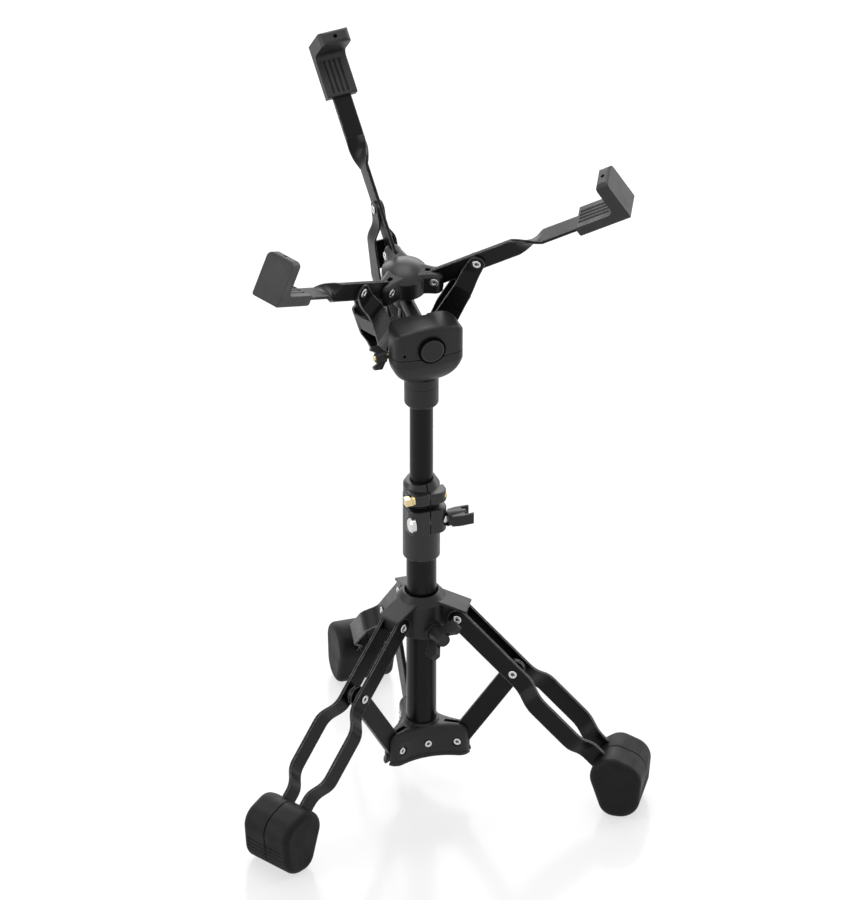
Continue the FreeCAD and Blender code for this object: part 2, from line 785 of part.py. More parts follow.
def leg_hub():
    """Cast hub with three ears that carry the legs, each ear under a sloping roof."""
    head = hub_foot + d.hub_height
    shoulder = head - d.hub_cone
    solid = rod(d.hub_radius, V(0, 0, hub_foot), V(0, 0, shoulder))
    solid = solid.fuse(Part.makeCone(d.hub_radius, d.hub_mouth + d.hub_rim, d.hub_cone, V(0, 0, shoulder)))
    ear, roof = hub_ear_outlines()
    for angle in SPOKES:
        solid = solid.fuse(moved(slab(ear, -d.hub_ear_half, d.hub_ear_half, UPRIGHT), spoke(angle)))
        solid = solid.fuse(moved(slab(roof, -d.hub_roof_half, d.hub_roof_half, UPRIGHT), spoke(angle)))
    screw = V(0, 0, hub_screw_height)
    boss = rod(d.hub_boss_radius, screw - Y_AXIS * tube_radius, screw - Y_AXIS * d.hub_boss_face)
    solid = solid.fuse(moved(boss, screw_turn))
    flare = head - d.hub_mouth_depth
    tools = [
        rod(tube_radius + fit, V(0, 0, hub_foot - THROUGH), V(0, 0, head + THROUGH)),
        Part.makeCone(tube_radius, d.hub_mouth, d.hub_mouth_depth, V(0, 0, flare)),
        moved(rod(d.hub_screw_radius + fit, screw, screw - Y_AXIS * THROUGH), screw_turn),
    ]
    pivot = V(hub_pivot[0], 0, hub_pivot[1])
    hole = rod(d.rivet_radius + fit, pivot - Y_AXIS * THROUGH / 2, pivot + Y_AXIS * THROUGH / 2)
    tools += [moved(hole, spoke(angle)) for angle in SPOKES]
    piece("leg_hub", carve(solid, tools).removeSplitter(), tripod)


def strap_rivet_profile():
    """Section of a rivet through both of a leg's straps."""
    half = "(Sizes.hub_ear_half + 1.7 * Sizes.side_gap + Sizes.strap_thickness)"
    return rivet_profile("Sizes.rivet_radius", half, "Sizes.rivet_head_radius", "Sizes.rivet_head_height")


def hub_rivets():
    """Rivets that hold the legs on the hub's ears."""
    across = at(hub_pivot[0], 0, hub_pivot[1], ALONG_Y)
    set_of("hub_rivets", strap_rivet_profile(), [leg_spoke(angle).multiply(across) for angle in SPOKES])


def hub_wing_screw():
    """Wing screw that locks the hub on the tube."""
    seat = d.hub_boss_face + d.side_gap
    head = wing(d.hub_wing_span, d.hub_wing_rise, d.hub_wing_thickness, d.hub_wing_hub)
    shank = rod(d.hub_screw_radius, V(0, 0, tube_radius + d.side_gap - seat), V(0, 0, 1))
    turn = FRONTWARD.multiply(FreeCAD.Rotation(Z_AXIS, d.hub_wing_turn))
    place = tripod.multiply(screw_turn).multiply(at(0, -seat, hub_screw_height, turn))
    piece("hub_wing_screw", head.fuse(shank).removeSplitter(), place)


# Legs, braces and feet

def leg_strap(label, angle, side):
    """One of a leg's two straps: parallel to the brace pivot, bowed out below it, closing at the foot."""
    level = d.hub_ear_half + d.side_gap + d.strap_thickness / 2
    radius = d.strap_width / 2
    bow_start = d.leg_brace_station + d.leg_bow_lead
    bow_end = d.leg_length - d.leg_tail
    stations = [
        (-radius, level), (bow_start, level), (bow_start + d.leg_bow_ramp, d.leg_bow_half),
        (bow_end - d.leg_tail_ramp, d.leg_bow_half), (bow_end, d.leg_tail_half),
        (d.leg_length, d.leg_tail_half),
    ]
    strip = bent_strip(stations, d.strap_thickness, d.strap_width)
    face = rounded_outline([
        (-radius, -radius, radius - TINY * 10), (d.leg_length, -radius, 0), (d.leg_length, radius, 0),
        (-radius, radius, radius - TINY * 10),
    ])
    solid = strip.common(slab(face, -THROUGH, THROUGH, UPRIGHT))
    for station in (0, d.leg_brace_station):
        solid = solid.cut(rod(d.rivet_radius + fit, V(station, -THROUGH, 0), V(station, THROUGH, 0)))
    if side < 0:
        solid = solid.mirror(ORIGIN, Y_AXIS)
    piece(label, solid, leg_frame(angle))


def leg_rivet(label, angle):
    """Rivet where the brace joins a leg."""
    turned(label, strap_rivet_profile(), leg_frame(angle).multiply(at(d.leg_brace_station, 0, 0, ALONG_Y)))


def leg_bushes(label, angle):
    """Two spacer bushes that keep the brace in the middle between a leg's straps."""
    bore = "Sizes.rivet_radius + Sizes.running_gap"
    near = "Sizes.brace_thickness / 2 + Sizes.side_gap"
    far = "Sizes.hub_ear_half + Sizes.side_gap"
    outer = "Sizes.leg_bush_radius"
    profile = [(bore, near), (outer, near), (outer, far), (bore, far)]
    places = [at(d.leg_brace_station, 0, 0, lay) for lay in (ALONG_Y, FRONTWARD)]
    set_of(label, profile, [leg_frame(angle).multiply(place) for place in places])


def brace(label, angle):
    """Flat brace from a leg to the collar, slotted at the collar so that an even fold clears the pin."""
    radius = d.strap_width / 2
    corner = radius - TINY * 10
    end = d.brace_length + radius
    half = d.brace_thickness / 2
    face = rounded_outline([
        (-radius, -radius, corner), (end, -radius, corner), (end, radius, corner), (-radius, radius, corner),
    ])
    plate = slab(face, -half, half, UPRIGHT)
    hole = rod(d.rivet_radius + fit, V(d.brace_length, -THROUGH, 0), V(d.brace_length, THROUGH, 0))
    slot = slab(drift_slot(pin_drift, d.brace_pin_radius), -THROUGH, THROUGH, UPRIGHT)
    piece(label, carve(plate, [hole, slot]), brace_frame(angle))


def foot_contact():
    """Distance from the column's axis to the middle of a foot's flat sole."""
    return leg_end_reach + d.foot_offset


def foot_profile():
    """Upright outline of a foot: an egg from its heel round over the top to its short flat sole."""
    depth = d.foot_depth
    top = d.foot_height
    heel = foot_contact() - 0.546 * depth
    return rounded_outline([
        (heel, 0.80 * top, 20), (heel + 0.42 * depth, 1.06 * top, 16), (heel + depth, 0.86 * top, 20),
        (heel + 0.92 * depth, 0, 20), (heel + 0.30 * depth, 0, 16),
    ])


def foot_grooves(profile):
    """Tread grooves across a foot's toe, above its flat sole."""
    across = Y_AXIS * (d.foot_width / 2 - d.foot_edge)
    sole_end = foot_contact() + 0.2 * d.foot_depth
    grooves = []
    for point in profile.discretize(Distance=d.foot_groove_pitch):
        if point.x > sole_end and point.y < d.foot_height / 2:
            centre = V(point.x, 0, point.y)
            grooves.append(rod(d.foot_groove, centre - across, centre + across))
    return grooves


def foot(label, angle):
    """Rubber foot: an egg-shaped block pushed over the ends of a leg's straps."""
    profile = foot_profile()
    half = d.foot_width / 2
    solid = slab(profile, -half, half, UPRIGHT)
    solid = solid.makeFillet(d.foot_edge, side_edges(solid, 1, -half) + side_edges(solid, 1, half))
    groove = d.foot_seam / 2
    core = profile.makeOffset2D(-d.foot_seam)
    solid = solid.cut(slab(profile, -groove, groove, UPRIGHT).cut(slab(core, -groove, groove, UPRIGHT)))
    to_leg = leg_spoke(angle).inverse().multiply(leg_frame(angle))
    wide = (d.strap_width + d.side_gap) / 2
    thick = (d.strap_thickness + d.side_gap) / 2
    start = d.leg_length - d.leg_tail - d.leg_tail_cover
    for middle in (-d.leg_tail_half, d.leg_tail_half):
        pocket = block(V(start, middle - thick, -wide), V(d.leg_length, middle + thick, wide))
        solid = solid.cut(moved(pocket, to_leg))
    piece(label, carve(solid, foot_grooves(profile)), leg_spoke(angle))


# Height clamp and memory lock

def lug_block(low, high):
    """Front lug of a clamp, round in plan."""
    plan = rounded_outline([
        (-d.lug_half, -d.lug_root, 0), (-d.lug_half, -d.lug_face, d.lug_edge),
        (d.lug_half, -d.lug_face, d.lug_edge), (d.lug_half, -d.lug_root, 0),
    ])
    return slab(plan, low, high)


def lug_cuts(height, bolt_radius, spot_radius):
    """Cross hole of a lug's bolt, with flat seats for what bears on its two sides."""
    bolt = V(0, -d.lug_bolt_depth, height)
    hole = rod(bolt_radius + fit, bolt - X_AXIS * THROUGH, bolt + X_AXIS * THROUGH)
    left = rod(spot_radius, bolt - X_AXIS * d.lug_head_seat, bolt - X_AXIS * THROUGH)
    right = rod(spot_radius, bolt + X_AXIS * d.lug_nut_seat, bolt + X_AXIS * THROUGH)
    return [hole, left, right]


def height_clamp():
    """Clamp casting on top of the fixed tube, split at the front between its lugs."""
    lug_head = clamp_head - d.clamp_lug_drop
    lug_foot = lug_head - d.clamp_lug_height
    solid = rod(d.clamp_radius, V(0, 0, clamp_foot), V(0, 0, clamp_head))
    solid = solid.makeChamfer(d.clamp_chamfer, side_edges(solid, 2, clamp_foot))
    lug = lug_block(lug_foot, lug_head)
    lug = lug.makeFillet(d.lug_round, side_edges(lug, 2, lug_foot) + side_edges(lug, 2, lug_head))
    half = d.split_width / 2
    tools = [
        rod(tube_radius, V(0, 0, clamp_foot - 1), V(0, 0, clamp_head + 1)),
        block(V(-half, -THROUGH, lug_foot - d.split_start), V(half, 0, clamp_head + 1)),
    ]
    tools += lug_cuts(clamp_bolt_height, d.clamp_bolt_radius, d.clamp_bolt_radius * 2 + d.side_gap)
    piece("height_clamp", carve(solid.fuse(lug), tools).removeSplitter())


def clamp_bush():
    """Plastic bush that guides the sliding tube in the clamp."""
    inner = "Sizes.upper_tube_od / 2 + Sizes.running_gap"
    outer = "Sizes.lower_tube_od / 2 - Sizes.running_gap / 2"
    head = "Sizes.clamp_cap"
    turned("clamp_bush", [(inner, "0"), (outer, "0"), (outer, head), (inner, head)], at(0, 0, tube_head))


def clamp_bolt():
    """Bolt through the clamp's lugs, with its round head on the left."""
    shank = "Sizes.clamp_bolt_radius"
    head = "Sizes.clamp_bolt_radius * 2"
    crown = "Sizes.clamp_bolt_radius * 1.6"
    seat = "-Sizes.lug_head_seat"
    edge = "-(Sizes.lug_head_seat + Sizes.clamp_bolt_radius * 0.9)"
    top = "-(Sizes.lug_head_seat + Sizes.clamp_bolt_radius * 1.3)"
    tail = "Sizes.lug_nut_seat + Sizes.clamp_bolt_tail"
    turned("clamp_bolt", [
        ("0", top), (crown, top), (head, edge), (head, seat), (shank, seat), (shank, tail), ("0", tail),
    ], at(0, -d.lug_bolt_depth, clamp_bolt_height, ALONG_X))


def clamp_wing_nut():
    """Wing nut of the height clamp, its wings lying level."""
    nut = wing_nut(d.clamp_wing_span, d.clamp_wing_rise, d.clamp_wing_thickness, d.clamp_wing_hub,
                   d.clamp_bolt_radius + fit)
    turn = ALONG_X.multiply(FreeCAD.Rotation(Z_AXIS, 90))
    seat = d.lug_nut_seat + d.side_gap
    piece("clamp_wing_nut", nut, at(seat, -d.lug_bolt_depth, clamp_bolt_height, turn))


def memory_lock():
    """Stop ring on the sliding tube: coned and slanted on top, split at the front, resting on the clamp."""
    head = lock_foot + d.lock_height
    shoulder = head - d.lock_cone
    solid = rod(d.lock_radius, V(0, 0, lock_foot), V(0, 0, shoulder))
    solid = solid.fuse(Part.makeCone(d.lock_radius, d.lock_top_radius, d.lock_cone, V(0, 0, shoulder)))
    lug_head = lock_foot + d.lock_lug_height
    lug = lug_block(lock_foot, lug_head)
    solid = solid.fuse(lug.makeFillet(d.lug_round, side_edges(lug, 2, lug_head)))
    slant = at(0, 0, head - d.lock_slant_depth, FreeCAD.Rotation(Y_AXIS, -d.lock_slant))
    half = d.split_width / 2
    tools = [
        moved(block(V(-THROUGH, -THROUGH, 0), V(THROUGH, THROUGH, THROUGH)), slant),
        rod(mast_radius + fit, V(0, 0, lock_foot - 1), V(0, 0, head + 1)),
        block(V(-half, -THROUGH, lock_foot - 1), V(half, 0, head + 1)),
    ]
    tools += lug_cuts(key_height, d.key_bolt_radius, d.key_flange_radius + d.side_gap)
    piece("memory_lock", carve(solid, tools).removeSplitter())


def key_bolt():
    """Square-headed bolt that tightens the memory lock with a drum key."""
    seat = d.lug_head_seat + d.side_gap
    flange_top = seat + d.key_flange_height
    half = d.key_head_half
    shank = rod(d.key_bolt_radius, -X_AXIS * seat, X_AXIS * d.lug_nut_seat)
    flange = rod(d.key_flange_radius, -X_AXIS * flange_top, -X_AXIS * seat)
    head = block(V(-flange_top - d.key_head_height, -half, -half), V(-flange_top, half, half))
    solid = shank.fuse([flange, head]).removeSplitter()
    piece("key_bolt", solid, at(0, -d.lug_bolt_depth, key_height))


# Tilter

def shell_plan(half, front, back, corner, back_corner):
    """Outline of the tilter's housing seen from above: its front bulges and its back corners are round."""
    side_front = front - 0.19 * half
    return rounded_outline([
        (-half, -side_front, corner), (0, -front, 3.6 * half), (half, -side_front, corner),
        (half, back, back_corner), (-half, back, back_corner),
    ])


def full_plan():
    """Outline of the housing at its widest."""
    return shell_plan(d.shell_half, d.shell_front, d.shell_back, d.shell_corner, d.shell_back_corner)


def bowl():
    """Round-sided bowl of the lower shell, from the neck out to the housing's full width."""
    neck = 0.95 * d.neck_radius
    foot_plan = (neck, neck, neck, 0.38 * neck, 0.8 * neck)
    full = (d.shell_half, d.shell_front, d.shell_back, d.shell_corner, d.shell_back_corner)
    sections = []
    for rise, share in ((0, 0), (0.45, 0.7), (1, 1)):
        wire = shell_plan(*[low + (high - low) * share for low, high in zip(foot_plan, full)])
        wire.translate(V(0, 0, bowl_foot + d.bowl_height * rise))
        sections.append(wire)
    return Part.makeLoft(sections, True, False)


def disc_recess():
    """Round seat of the front disc."""
    centre = V(0, -d.shell_front, disc_height)
    return rod(d.disc_radius + d.side_gap / 2, centre + Y_AXIS * d.disc_depth, centre - Y_AXIS * THROUGH)


def tilter_bolt_bore():
    """Cross hole of the tilter's clamping bolt."""
    point = V(0, d.tilter_bolt_back, tilter_bolt_height)
    return rod(d.tilter_bolt_radius + fit, point - X_AXIS * THROUGH, point + X_AXIS * THROUGH)


def seam_groove():
    """Shadow line cut round the top edge of the lower shell."""
    depth = d.seam_groove
    core = shell_plan(d.shell_half - depth, d.shell_front - depth, d.shell_back - depth,
                      d.shell_corner - depth, d.shell_back_corner - depth)
    foot = seam_height - depth
    return slab(full_plan(), foot, seam_height).cut(slab(core, foot, seam_height))


def tilter_base():
    """Lower shell of the tilter, from the neck round the tube up to the seam."""
    neck = rod(d.neck_radius, V(0, 0, neck_foot), V(0, 0, bowl_foot))
    neck = neck.makeFillet(d.neck_round, side_edges(neck, 2, neck_foot))
    groove_foot = V(0, 0, bowl_foot - d.neck_groove_drop)
    groove_head = groove_foot + Z_AXIS * d.neck_groove
    groove = rod(THROUGH, groove_foot, groove_head)
    groove = groove.cut(rod(d.neck_radius - d.neck_groove, groove_foot, groove_head))
    rim = slab(full_plan(), shoulder_height, seam_height)
    bore = rod(mast_radius, V(0, 0, neck_foot - 1), V(0, 0, mast_head))
    solid = neck.cut(groove).fuse([bowl(), rim])
    tools = [bore, seam_groove(), disc_recess(), tilter_bolt_bore()]
    piece("tilter_base", carve(solid, tools).removeSplitter())


def tilter_cap():
    """Upper shell of the tilter: an arched hood over the ball, open at the back for the stem."""
    half = d.shell_half
    side = crown_height - d.hood_shoulder
    arch = rounded_outline([
        (-half, seam_height, 0), (half, seam_height, 0), (half, side, d.shell_corner),
        (0, crown_height + d.hood_shoulder / 3, 2 * half), (-half, side, d.shell_corner),
    ])
    solid = slab(arch, -d.shell_back, d.shell_front, UPRIGHT)
    solid = solid.common(slab(full_plan(), seam_height, crown_height + THROUGH))
    low = seam_height - 1
    back = rounded_outline([
        (-THROUGH, low, 0), (d.shell_back, low, 0), (d.shell_back, crown_height, d.hood_back_round),
        (-THROUGH, crown_height + d.hood_shoulder, 0),
    ])
    solid = solid.common(slab(back, -THROUGH, THROUGH, SIDEWAYS))
    brow = []
    for edge in solid.Edges:
        box = edge.BoundBox
        if box.YMax < -d.shell_front / 3 and box.ZMin > seam_height + d.ball_rise and box.XLength > 1:
            brow.append(edge)
    solid = solid.makeFillet(d.hood_round, brow)
    room = d.stem_radius + 1
    slot_low = V(-room, ball_centre.y + d.stem_radius / 2, ball_centre.z - room)
    peg = X_AXIS * (d.ball_radius + d.ball_liner + d.peg_length + d.side_gap)
    screw = V(-d.shell_screw_side, -d.shell_front, seam_height + d.shell_screw_rise)
    screw_depth = 0.19 * half + d.shell_screw_depth
    tools = [
        Part.makeSphere(d.ball_radius + d.ball_liner + 2 * fit, ball_centre, X_AXIS),
        block(slot_low, V(room, THROUGH, crown_height + THROUGH)),
        rod(d.peg_radius + fit, ball_centre - peg, ball_centre + peg),
        rod(d.shell_screw_radius, screw, screw + Y_AXIS * screw_depth),
        disc_recess(),
    ]
    piece("tilter_cap", carve(solid, tools).removeSplitter())


def tilter_disc():
    """Plain round cap on the front of the tilter, across the seam."""
    seat = "-Sizes.disc_depth"
    edge = "Sizes.disc_proud * 0.3"
    turned("tilter_disc", [
        ("0", seat), ("Sizes.disc_radius", seat), ("Sizes.disc_radius", edge),
        ("Sizes.disc_radius * 0.87", "Sizes.disc_proud"), ("0", "Sizes.disc_proud"),
    ], at(0, -d.shell_front, disc_height, FRONTWARD))


def tilter_bolt():
    """Clamping bolt across the tilter, with its head on the right."""
    shank = "Sizes.tilter_bolt_radius"
    head = "Sizes.tilter_bolt_radius * 2"
    crown = "Sizes.tilter_bolt_radius * 1.67"
    tail = "-(Sizes.shell_half + Sizes.tilter_bolt_tail)"
    seat = "Sizes.shell_half"
    edge = "Sizes.shell_half + Sizes.tilter_bolt_head * 0.7"
    top = "Sizes.shell_half + Sizes.tilter_bolt_head"
    turned("tilter_bolt", [
        ("0", tail), (shank, tail), (shank, seat), (head, seat), (head, edge), (crown, top), ("0", top),
    ], at(0, d.tilter_bolt_back, tilter_bolt_height, ALONG_X))


def tilter_wing_nut():
    """Wing nut of the tilter, on the left."""
    nut = wing_nut(d.tilter_wing_span, d.tilter_wing_rise, d.tilter_wing_thickness, d.tilter_wing_hub,
                   d.tilter_bolt_radius + fit)
    turn = LEFTWARD.multiply(FreeCAD.Rotation(Z_AXIS, d.tilter_wing_turn))
    seat = d.shell_half + d.side_gap
    piece("tilter_wing_nut", nut, at(-seat, d.tilter_bolt_back, tilter_bolt_height, turn))


def ball_liner():
    """Plastic cup round the ball, hung on two pegs in the housing and open where the stem leaves."""
    outside = d.ball_radius + fit + d.ball_liner
    pegs = rod(d.peg_radius, -X_AXIS * (outside + d.peg_length), X_AXIS * (outside + d.peg_length))
    shell = Part.makeSphere(outside).fuse(pegs)
    tools = [Part.makeSphere(d.ball_radius + fit), rod(d.stem_radius + d.side_gap, ORIGIN, Y_AXIS * THROUGH)]
    piece("ball_liner", carve(shell, tools), FreeCAD.Placement(ball_centre, tilt_turn))


# Basket core

def ball_stem():
    """Ball, stem and boss that carry the basket behind the tilter."""
    setback = d.basket_setback
    head = d.spider_rise - d.spider_under
    boss = rod(d.boss_radius, V(0, setback, -d.boss_drop), V(0, setback, head))
    boss = boss.makeFillet(d.boss_round, side_edges(boss, 2, -d.boss_drop))
    solid = Part.makeSphere(d.ball_radius).fuse([rod(d.stem_radius, ORIGIN, V(0, setback, 0)), boss])
    solid = solid.cut(rod(d.rod_radius, V(0, setback, -THROUGH), V(0, setback, THROUGH)))
    piece("ball_stem", solid.removeSplitter(), basket)


def basket_rod():
    """Rod of the basket, from the spider down through the slider and its nut."""
    rivet_reach = "Sizes.spider_pivot_reach + Sizes.arm_link_station * cos(Sizes.arm_rise)"
    rivet_rise = "Sizes.arm_link_station * sin(Sizes.arm_rise)"
    inset = "(%s - Sizes.slider_pivot_reach)" % rivet_reach
    slider = "(sqrt(Sizes.link_length ^ 2 - %s ^ 2) - %s)" % (inset, rivet_rise)
    below = "Sizes.slider_half_height + Sizes.nut_height + Sizes.rod_tail"
    foot = "-(%s - Sizes.spider_rise + %s)" % (slider, below)
    bevel = "-(%s - Sizes.spider_rise + %s - Sizes.rod_radius * 0.2)" % (slider, below)
    head = "Sizes.spider_rise + Sizes.rod_radius * 0.4"
    radius = "Sizes.rod_radius"
    tip = "Sizes.rod_radius * 0.8"
    profile = [("0", foot), (tip, foot), (radius, bevel), (radius, head), ("0", head)]
    turned("basket_rod", profile, basket_axis)


def spider():
    """Domed three-lobed casting that carries the arms between its double ears."""
    plan = lobed_outline(d.spider_pivot_reach, d.spider_lobe, d.spider_waist)
    solid = slab(plan, -d.spider_under, d.spider_over)
    solid = solid.makeFillet(d.spider_edge, side_edges(solid, 2, d.spider_over))
    solid = solid.makeFillet(d.spider_foot_edge, side_edges(solid, 2, -d.spider_under))
    apex = d.spider_over + d.spider_dome_rise
    dome = Part.makeSphere(d.spider_dome_ball, V(0, 0, apex - d.spider_dome_ball))
    solid = solid.fuse(dome.common(rod(d.spider_dome, V(0, 0, -d.spider_under), V(0, 0, THROUGH))))
    pivot = X_AXIS * d.spider_pivot_reach
    half = d.arm_thickness / 2 + d.side_gap
    inner = d.spider_pivot_reach - d.arm_width / 2 - d.spider_slot_room
    tools = [rod(d.rod_radius, V(0, 0, -THROUGH), V(0, 0, d.rod_radius * 0.4))]
    for angle in SPOKES:
        slot = block(V(inner, -half, -THROUGH), V(THROUGH, half, THROUGH))
        hole = rod(d.basket_pin_radius + fit, pivot - Y_AXIS * THROUGH / 2, pivot + Y_AXIS * THROUGH / 2)
        tools += [moved(tool, spoke(angle)) for tool in (slot, hole)]
        for side in (-Y_AXIS, Y_AXIS):
            seat = pivot + side * d.spider_pin_seat
            spot = rod(d.basket_head_radius + d.side_gap, seat, seat + side * THROUGH / 2)
            tools.append(moved(spot, spoke(angle)))
    piece("basket_spider", carve(solid, tools).removeSplitter(), spider_frame)


def basket_pin_profile(half):
    """Section of a rivet of the basket, from the expression of half its grip."""
    head_radius = "Sizes.basket_head_radius"
    return rivet_profile("Sizes.basket_pin_radius", half, head_radius, "Sizes.basket_head_height")


def spider_rivets():
    """Rivets that hold the arms in the spider."""
    across = at(d.spider_pivot_reach, 0, 0, ALONG_Y)
    places = [spider_frame.multiply(spoke(angle)).multiply(across) for angle in SPOKES]
    set_of("spider_rivets", basket_pin_profile("Sizes.spider_pin_seat"), places)


def slider():
    """Slider on the basket's rod, with a tongue for each link."""
    half = d.slider_half_height
    end = d.slider_pivot_reach + half
    corner = half - TINY * 10
    pivot = X_AXIS * d.slider_pivot_reach
    solid = rod(d.slider_radius, V(0, 0, -half), V(0, 0, half))
    tongue = rounded_outline([(0, -half, 0), (end, -half, corner), (end, half, corner), (0, half, 0)])
    for angle in SPOKES:
        arm_plate = slab(tongue, -d.slider_tongue_half, d.slider_tongue_half, UPRIGHT)
        hole = rod(d.basket_pin_radius + fit, pivot - Y_AXIS * THROUGH / 2, pivot + Y_AXIS * THROUGH / 2)
        solid = solid.fuse(moved(arm_plate, spoke(angle))).cut(moved(hole, spoke(angle)))
    solid = solid.cut(rod(d.rod_radius + fit, -Z_AXIS * THROUGH, Z_AXIS * THROUGH))
    piece("basket_slider", solid.removeSplitter(), slider_frame)


def slider_pins():
    """Pins on which the links turn."""
    half = "(Sizes.slider_tongue_half + 1.7 * Sizes.side_gap + Sizes.link_plate)"
    across = at(d.slider_pivot_reach, 0, 0, ALONG_Y)
    places = [slider_frame.multiply(spoke(angle)).multiply(across) for angle in SPOKES]
    set_of("slider_pins", basket_pin_profile(half), places)


def basket_nut():
    """Fluted nut under the slider that opens and closes the basket."""
    head = V(0, 0, -d.slider_half_height - d.side_gap)
    foot_point = head - Z_AXIS * d.nut_height
    tools = [rod(d.rod_radius + fit, foot_point - Z_AXIS, head + Z_AXIS)]
    for step in range(NUT_FLUTES):
        side = polar(d.nut_radius + 0.4 * d.nut_flute, 360 * step / NUT_FLUTES)
        tools.append(rod(d.nut_flute, foot_point - Z_AXIS + side, head + Z_AXIS + side))
    piece("basket_nut", carve(rod(d.nut_radius, foot_point, head), tools), slider_frame)


# Basket arms, links and claws

def arm(label, angle):
    """Flat arm, on edge at the spider and twisted a quarter turn to lie flat under the claw."""
    radius = d.arm_width / 2
    corner = radius - TINY * 10
    half = d.arm_thickness / 2
    twist_start = d.arm_link_station + d.arm_twist_lead
    twist_end = twist_start + d.arm_twist_length
    root = slab(rounded_outline([
        (-radius, -radius, corner), (twist_start, -radius, 0), (twist_start, radius, 0),
        (-radius, radius, corner),
    ]), -half, half, UPRIGHT)
    ring = ((-half, -radius), (half, -radius), (half, radius), (-half, radius), (-half, -radius))
    sections = []
    for step in range(TWIST_STEPS + 1):
        share = step / TWIST_STEPS
        section = Part.makePolygon([V(0, y, z) for y, z in ring])
        x = twist_start + d.arm_twist_length * share
        section.Placement = at(x, 0, 0, FreeCAD.Rotation(X_AXIS, 90 * share))
        sections.append(section)
    twist = Part.makeLoft(sections, True, False)
    tail = block(V(twist_end, -radius, -half), V(d.arm_length, radius, half))
    solid = root.fuse([twist, tail])
    hole = rod(d.basket_pin_radius + fit, -Y_AXIS * THROUGH, Y_AXIS * THROUGH)
    slot = slab(drift_slot(rivet_drift, d.basket_pin_radius), -THROUGH, THROUGH, UPRIGHT)
    piece(label, carve(solid, [hole, slot]).removeSplitter(), arm_frame(angle))


def link(label, angle):
    """Pressed link: two plates that bow out round the spider's ear, joined by a web at the back."""
    foot_level = d.slider_tongue_half + d.side_gap + d.link_plate / 2
    head_level = d.arm_thickness / 2 + d.side_gap + d.link_plate / 2
    length = d.link_length
    foot_half = d.link_foot_half
    head_half = d.link_head_half
    flare = d.link_flare_half
    end = length + head_half
    stations = [
        (-foot_half, foot_level), (0.14 * length, foot_level), (0.35 * length, d.link_bow_half),
        (0.68 * length, d.link_bow_half), (0.9 * length, head_level), (end, head_level),
    ]
    plate = bent_strip(stations, d.link_plate, 4 * flare)
    waist = 0.29 * length
    foot_round = 0.9 * foot_half
    head_round = head_half - TINY * 10
    face = rounded_outline([
        (-foot_half, -foot_half, foot_round), (waist, -flare, 40), (end, -head_half, head_round),
        (end, head_half, head_round), (waist, flare, 40), (-foot_half, foot_half, foot_round),
    ])
    plate = plate.common(slab(face, -THROUGH, THROUGH, UPRIGHT))
    depth = d.link_web_depth
    web_foot = V(0.39 * length, -d.link_bow_half, -depth)
    web = block(web_foot, V(0.66 * length, d.link_bow_half, -depth + d.link_plate))
    solid = plate.fuse([plate.mirror(ORIGIN, Y_AXIS), web])
    for station in (0, length):
        solid = solid.cut(rod(d.basket_pin_radius + fit, V(station, -THROUGH, 0), V(station, THROUGH, 0)))
    piece(label, solid.removeSplitter(), link_frame(angle))


def link_rivet(label, angle):
    """Rivet at the head of a link, through the arm's slot."""
    half = "(Sizes.arm_thickness / 2 + Sizes.side_gap + Sizes.link_plate)"
    place = link_frame(angle).multiply(at(d.link_length, 0, 0, ALONG_Y))
    turned(label, basket_pin_profile(half), place)


def claw(label, angle):
    """Rubber claw: a ribbed pad on the arm's end with an upright block that grips the drum's rim."""
    half = d.claw_half
    edge = d.claw_edge
    start = d.arm_length - d.claw_grip
    end = start + d.claw_length
    inner = end - d.claw_block
    low = -d.claw_under
    pad_top = low + d.claw_pad
    top = low + d.claw_height
    side = rounded_outline([
        (start, low, edge), (end, low, edge), (end, top, edge), (inner, top, edge),
        (inner, pad_top, d.claw_top_edge), (start, pad_top, edge / 2),
    ])
    front = rounded_outline([
        (-half, low, edge), (half, low, edge), (half, top, d.claw_top_edge), (-half, top, d.claw_top_edge),
    ])
    solid = slab(side, -half, half, UPRIGHT).common(slab(front, start - 1, end + 1, SIDEWAYS))
    pitch = 2 * (half - edge) / (CLAW_GROOVES + 1)
    tools = []
    for step in range(CLAW_GROOVES):
        y = edge - half + pitch * (step + 1)
        mouth = pad_top + TINY
        notch = rounded_outline([
            (y - d.claw_groove, mouth, 0), (y, pad_top - d.claw_groove, 0), (y + d.claw_groove, mouth, 0),
        ])
        tools.append(slab(notch, start + edge, inner - d.claw_top_edge, SIDEWAYS))
    middle = end - d.claw_block / 2
    tools.append(rod(d.claw_hole_radius, V(middle, 0, top - d.claw_hole_depth), V(middle, 0, top + 1)))
    thick = (d.arm_thickness + d.side_gap) / 2
    wide = (d.arm_width + d.side_gap) / 2
    tools.append(block(V(start - 1, -wide, -thick), V(d.arm_length, wide, thick)))
    piece(label, carve(solid, tools).removeSplitter(), arm_frame(angle))


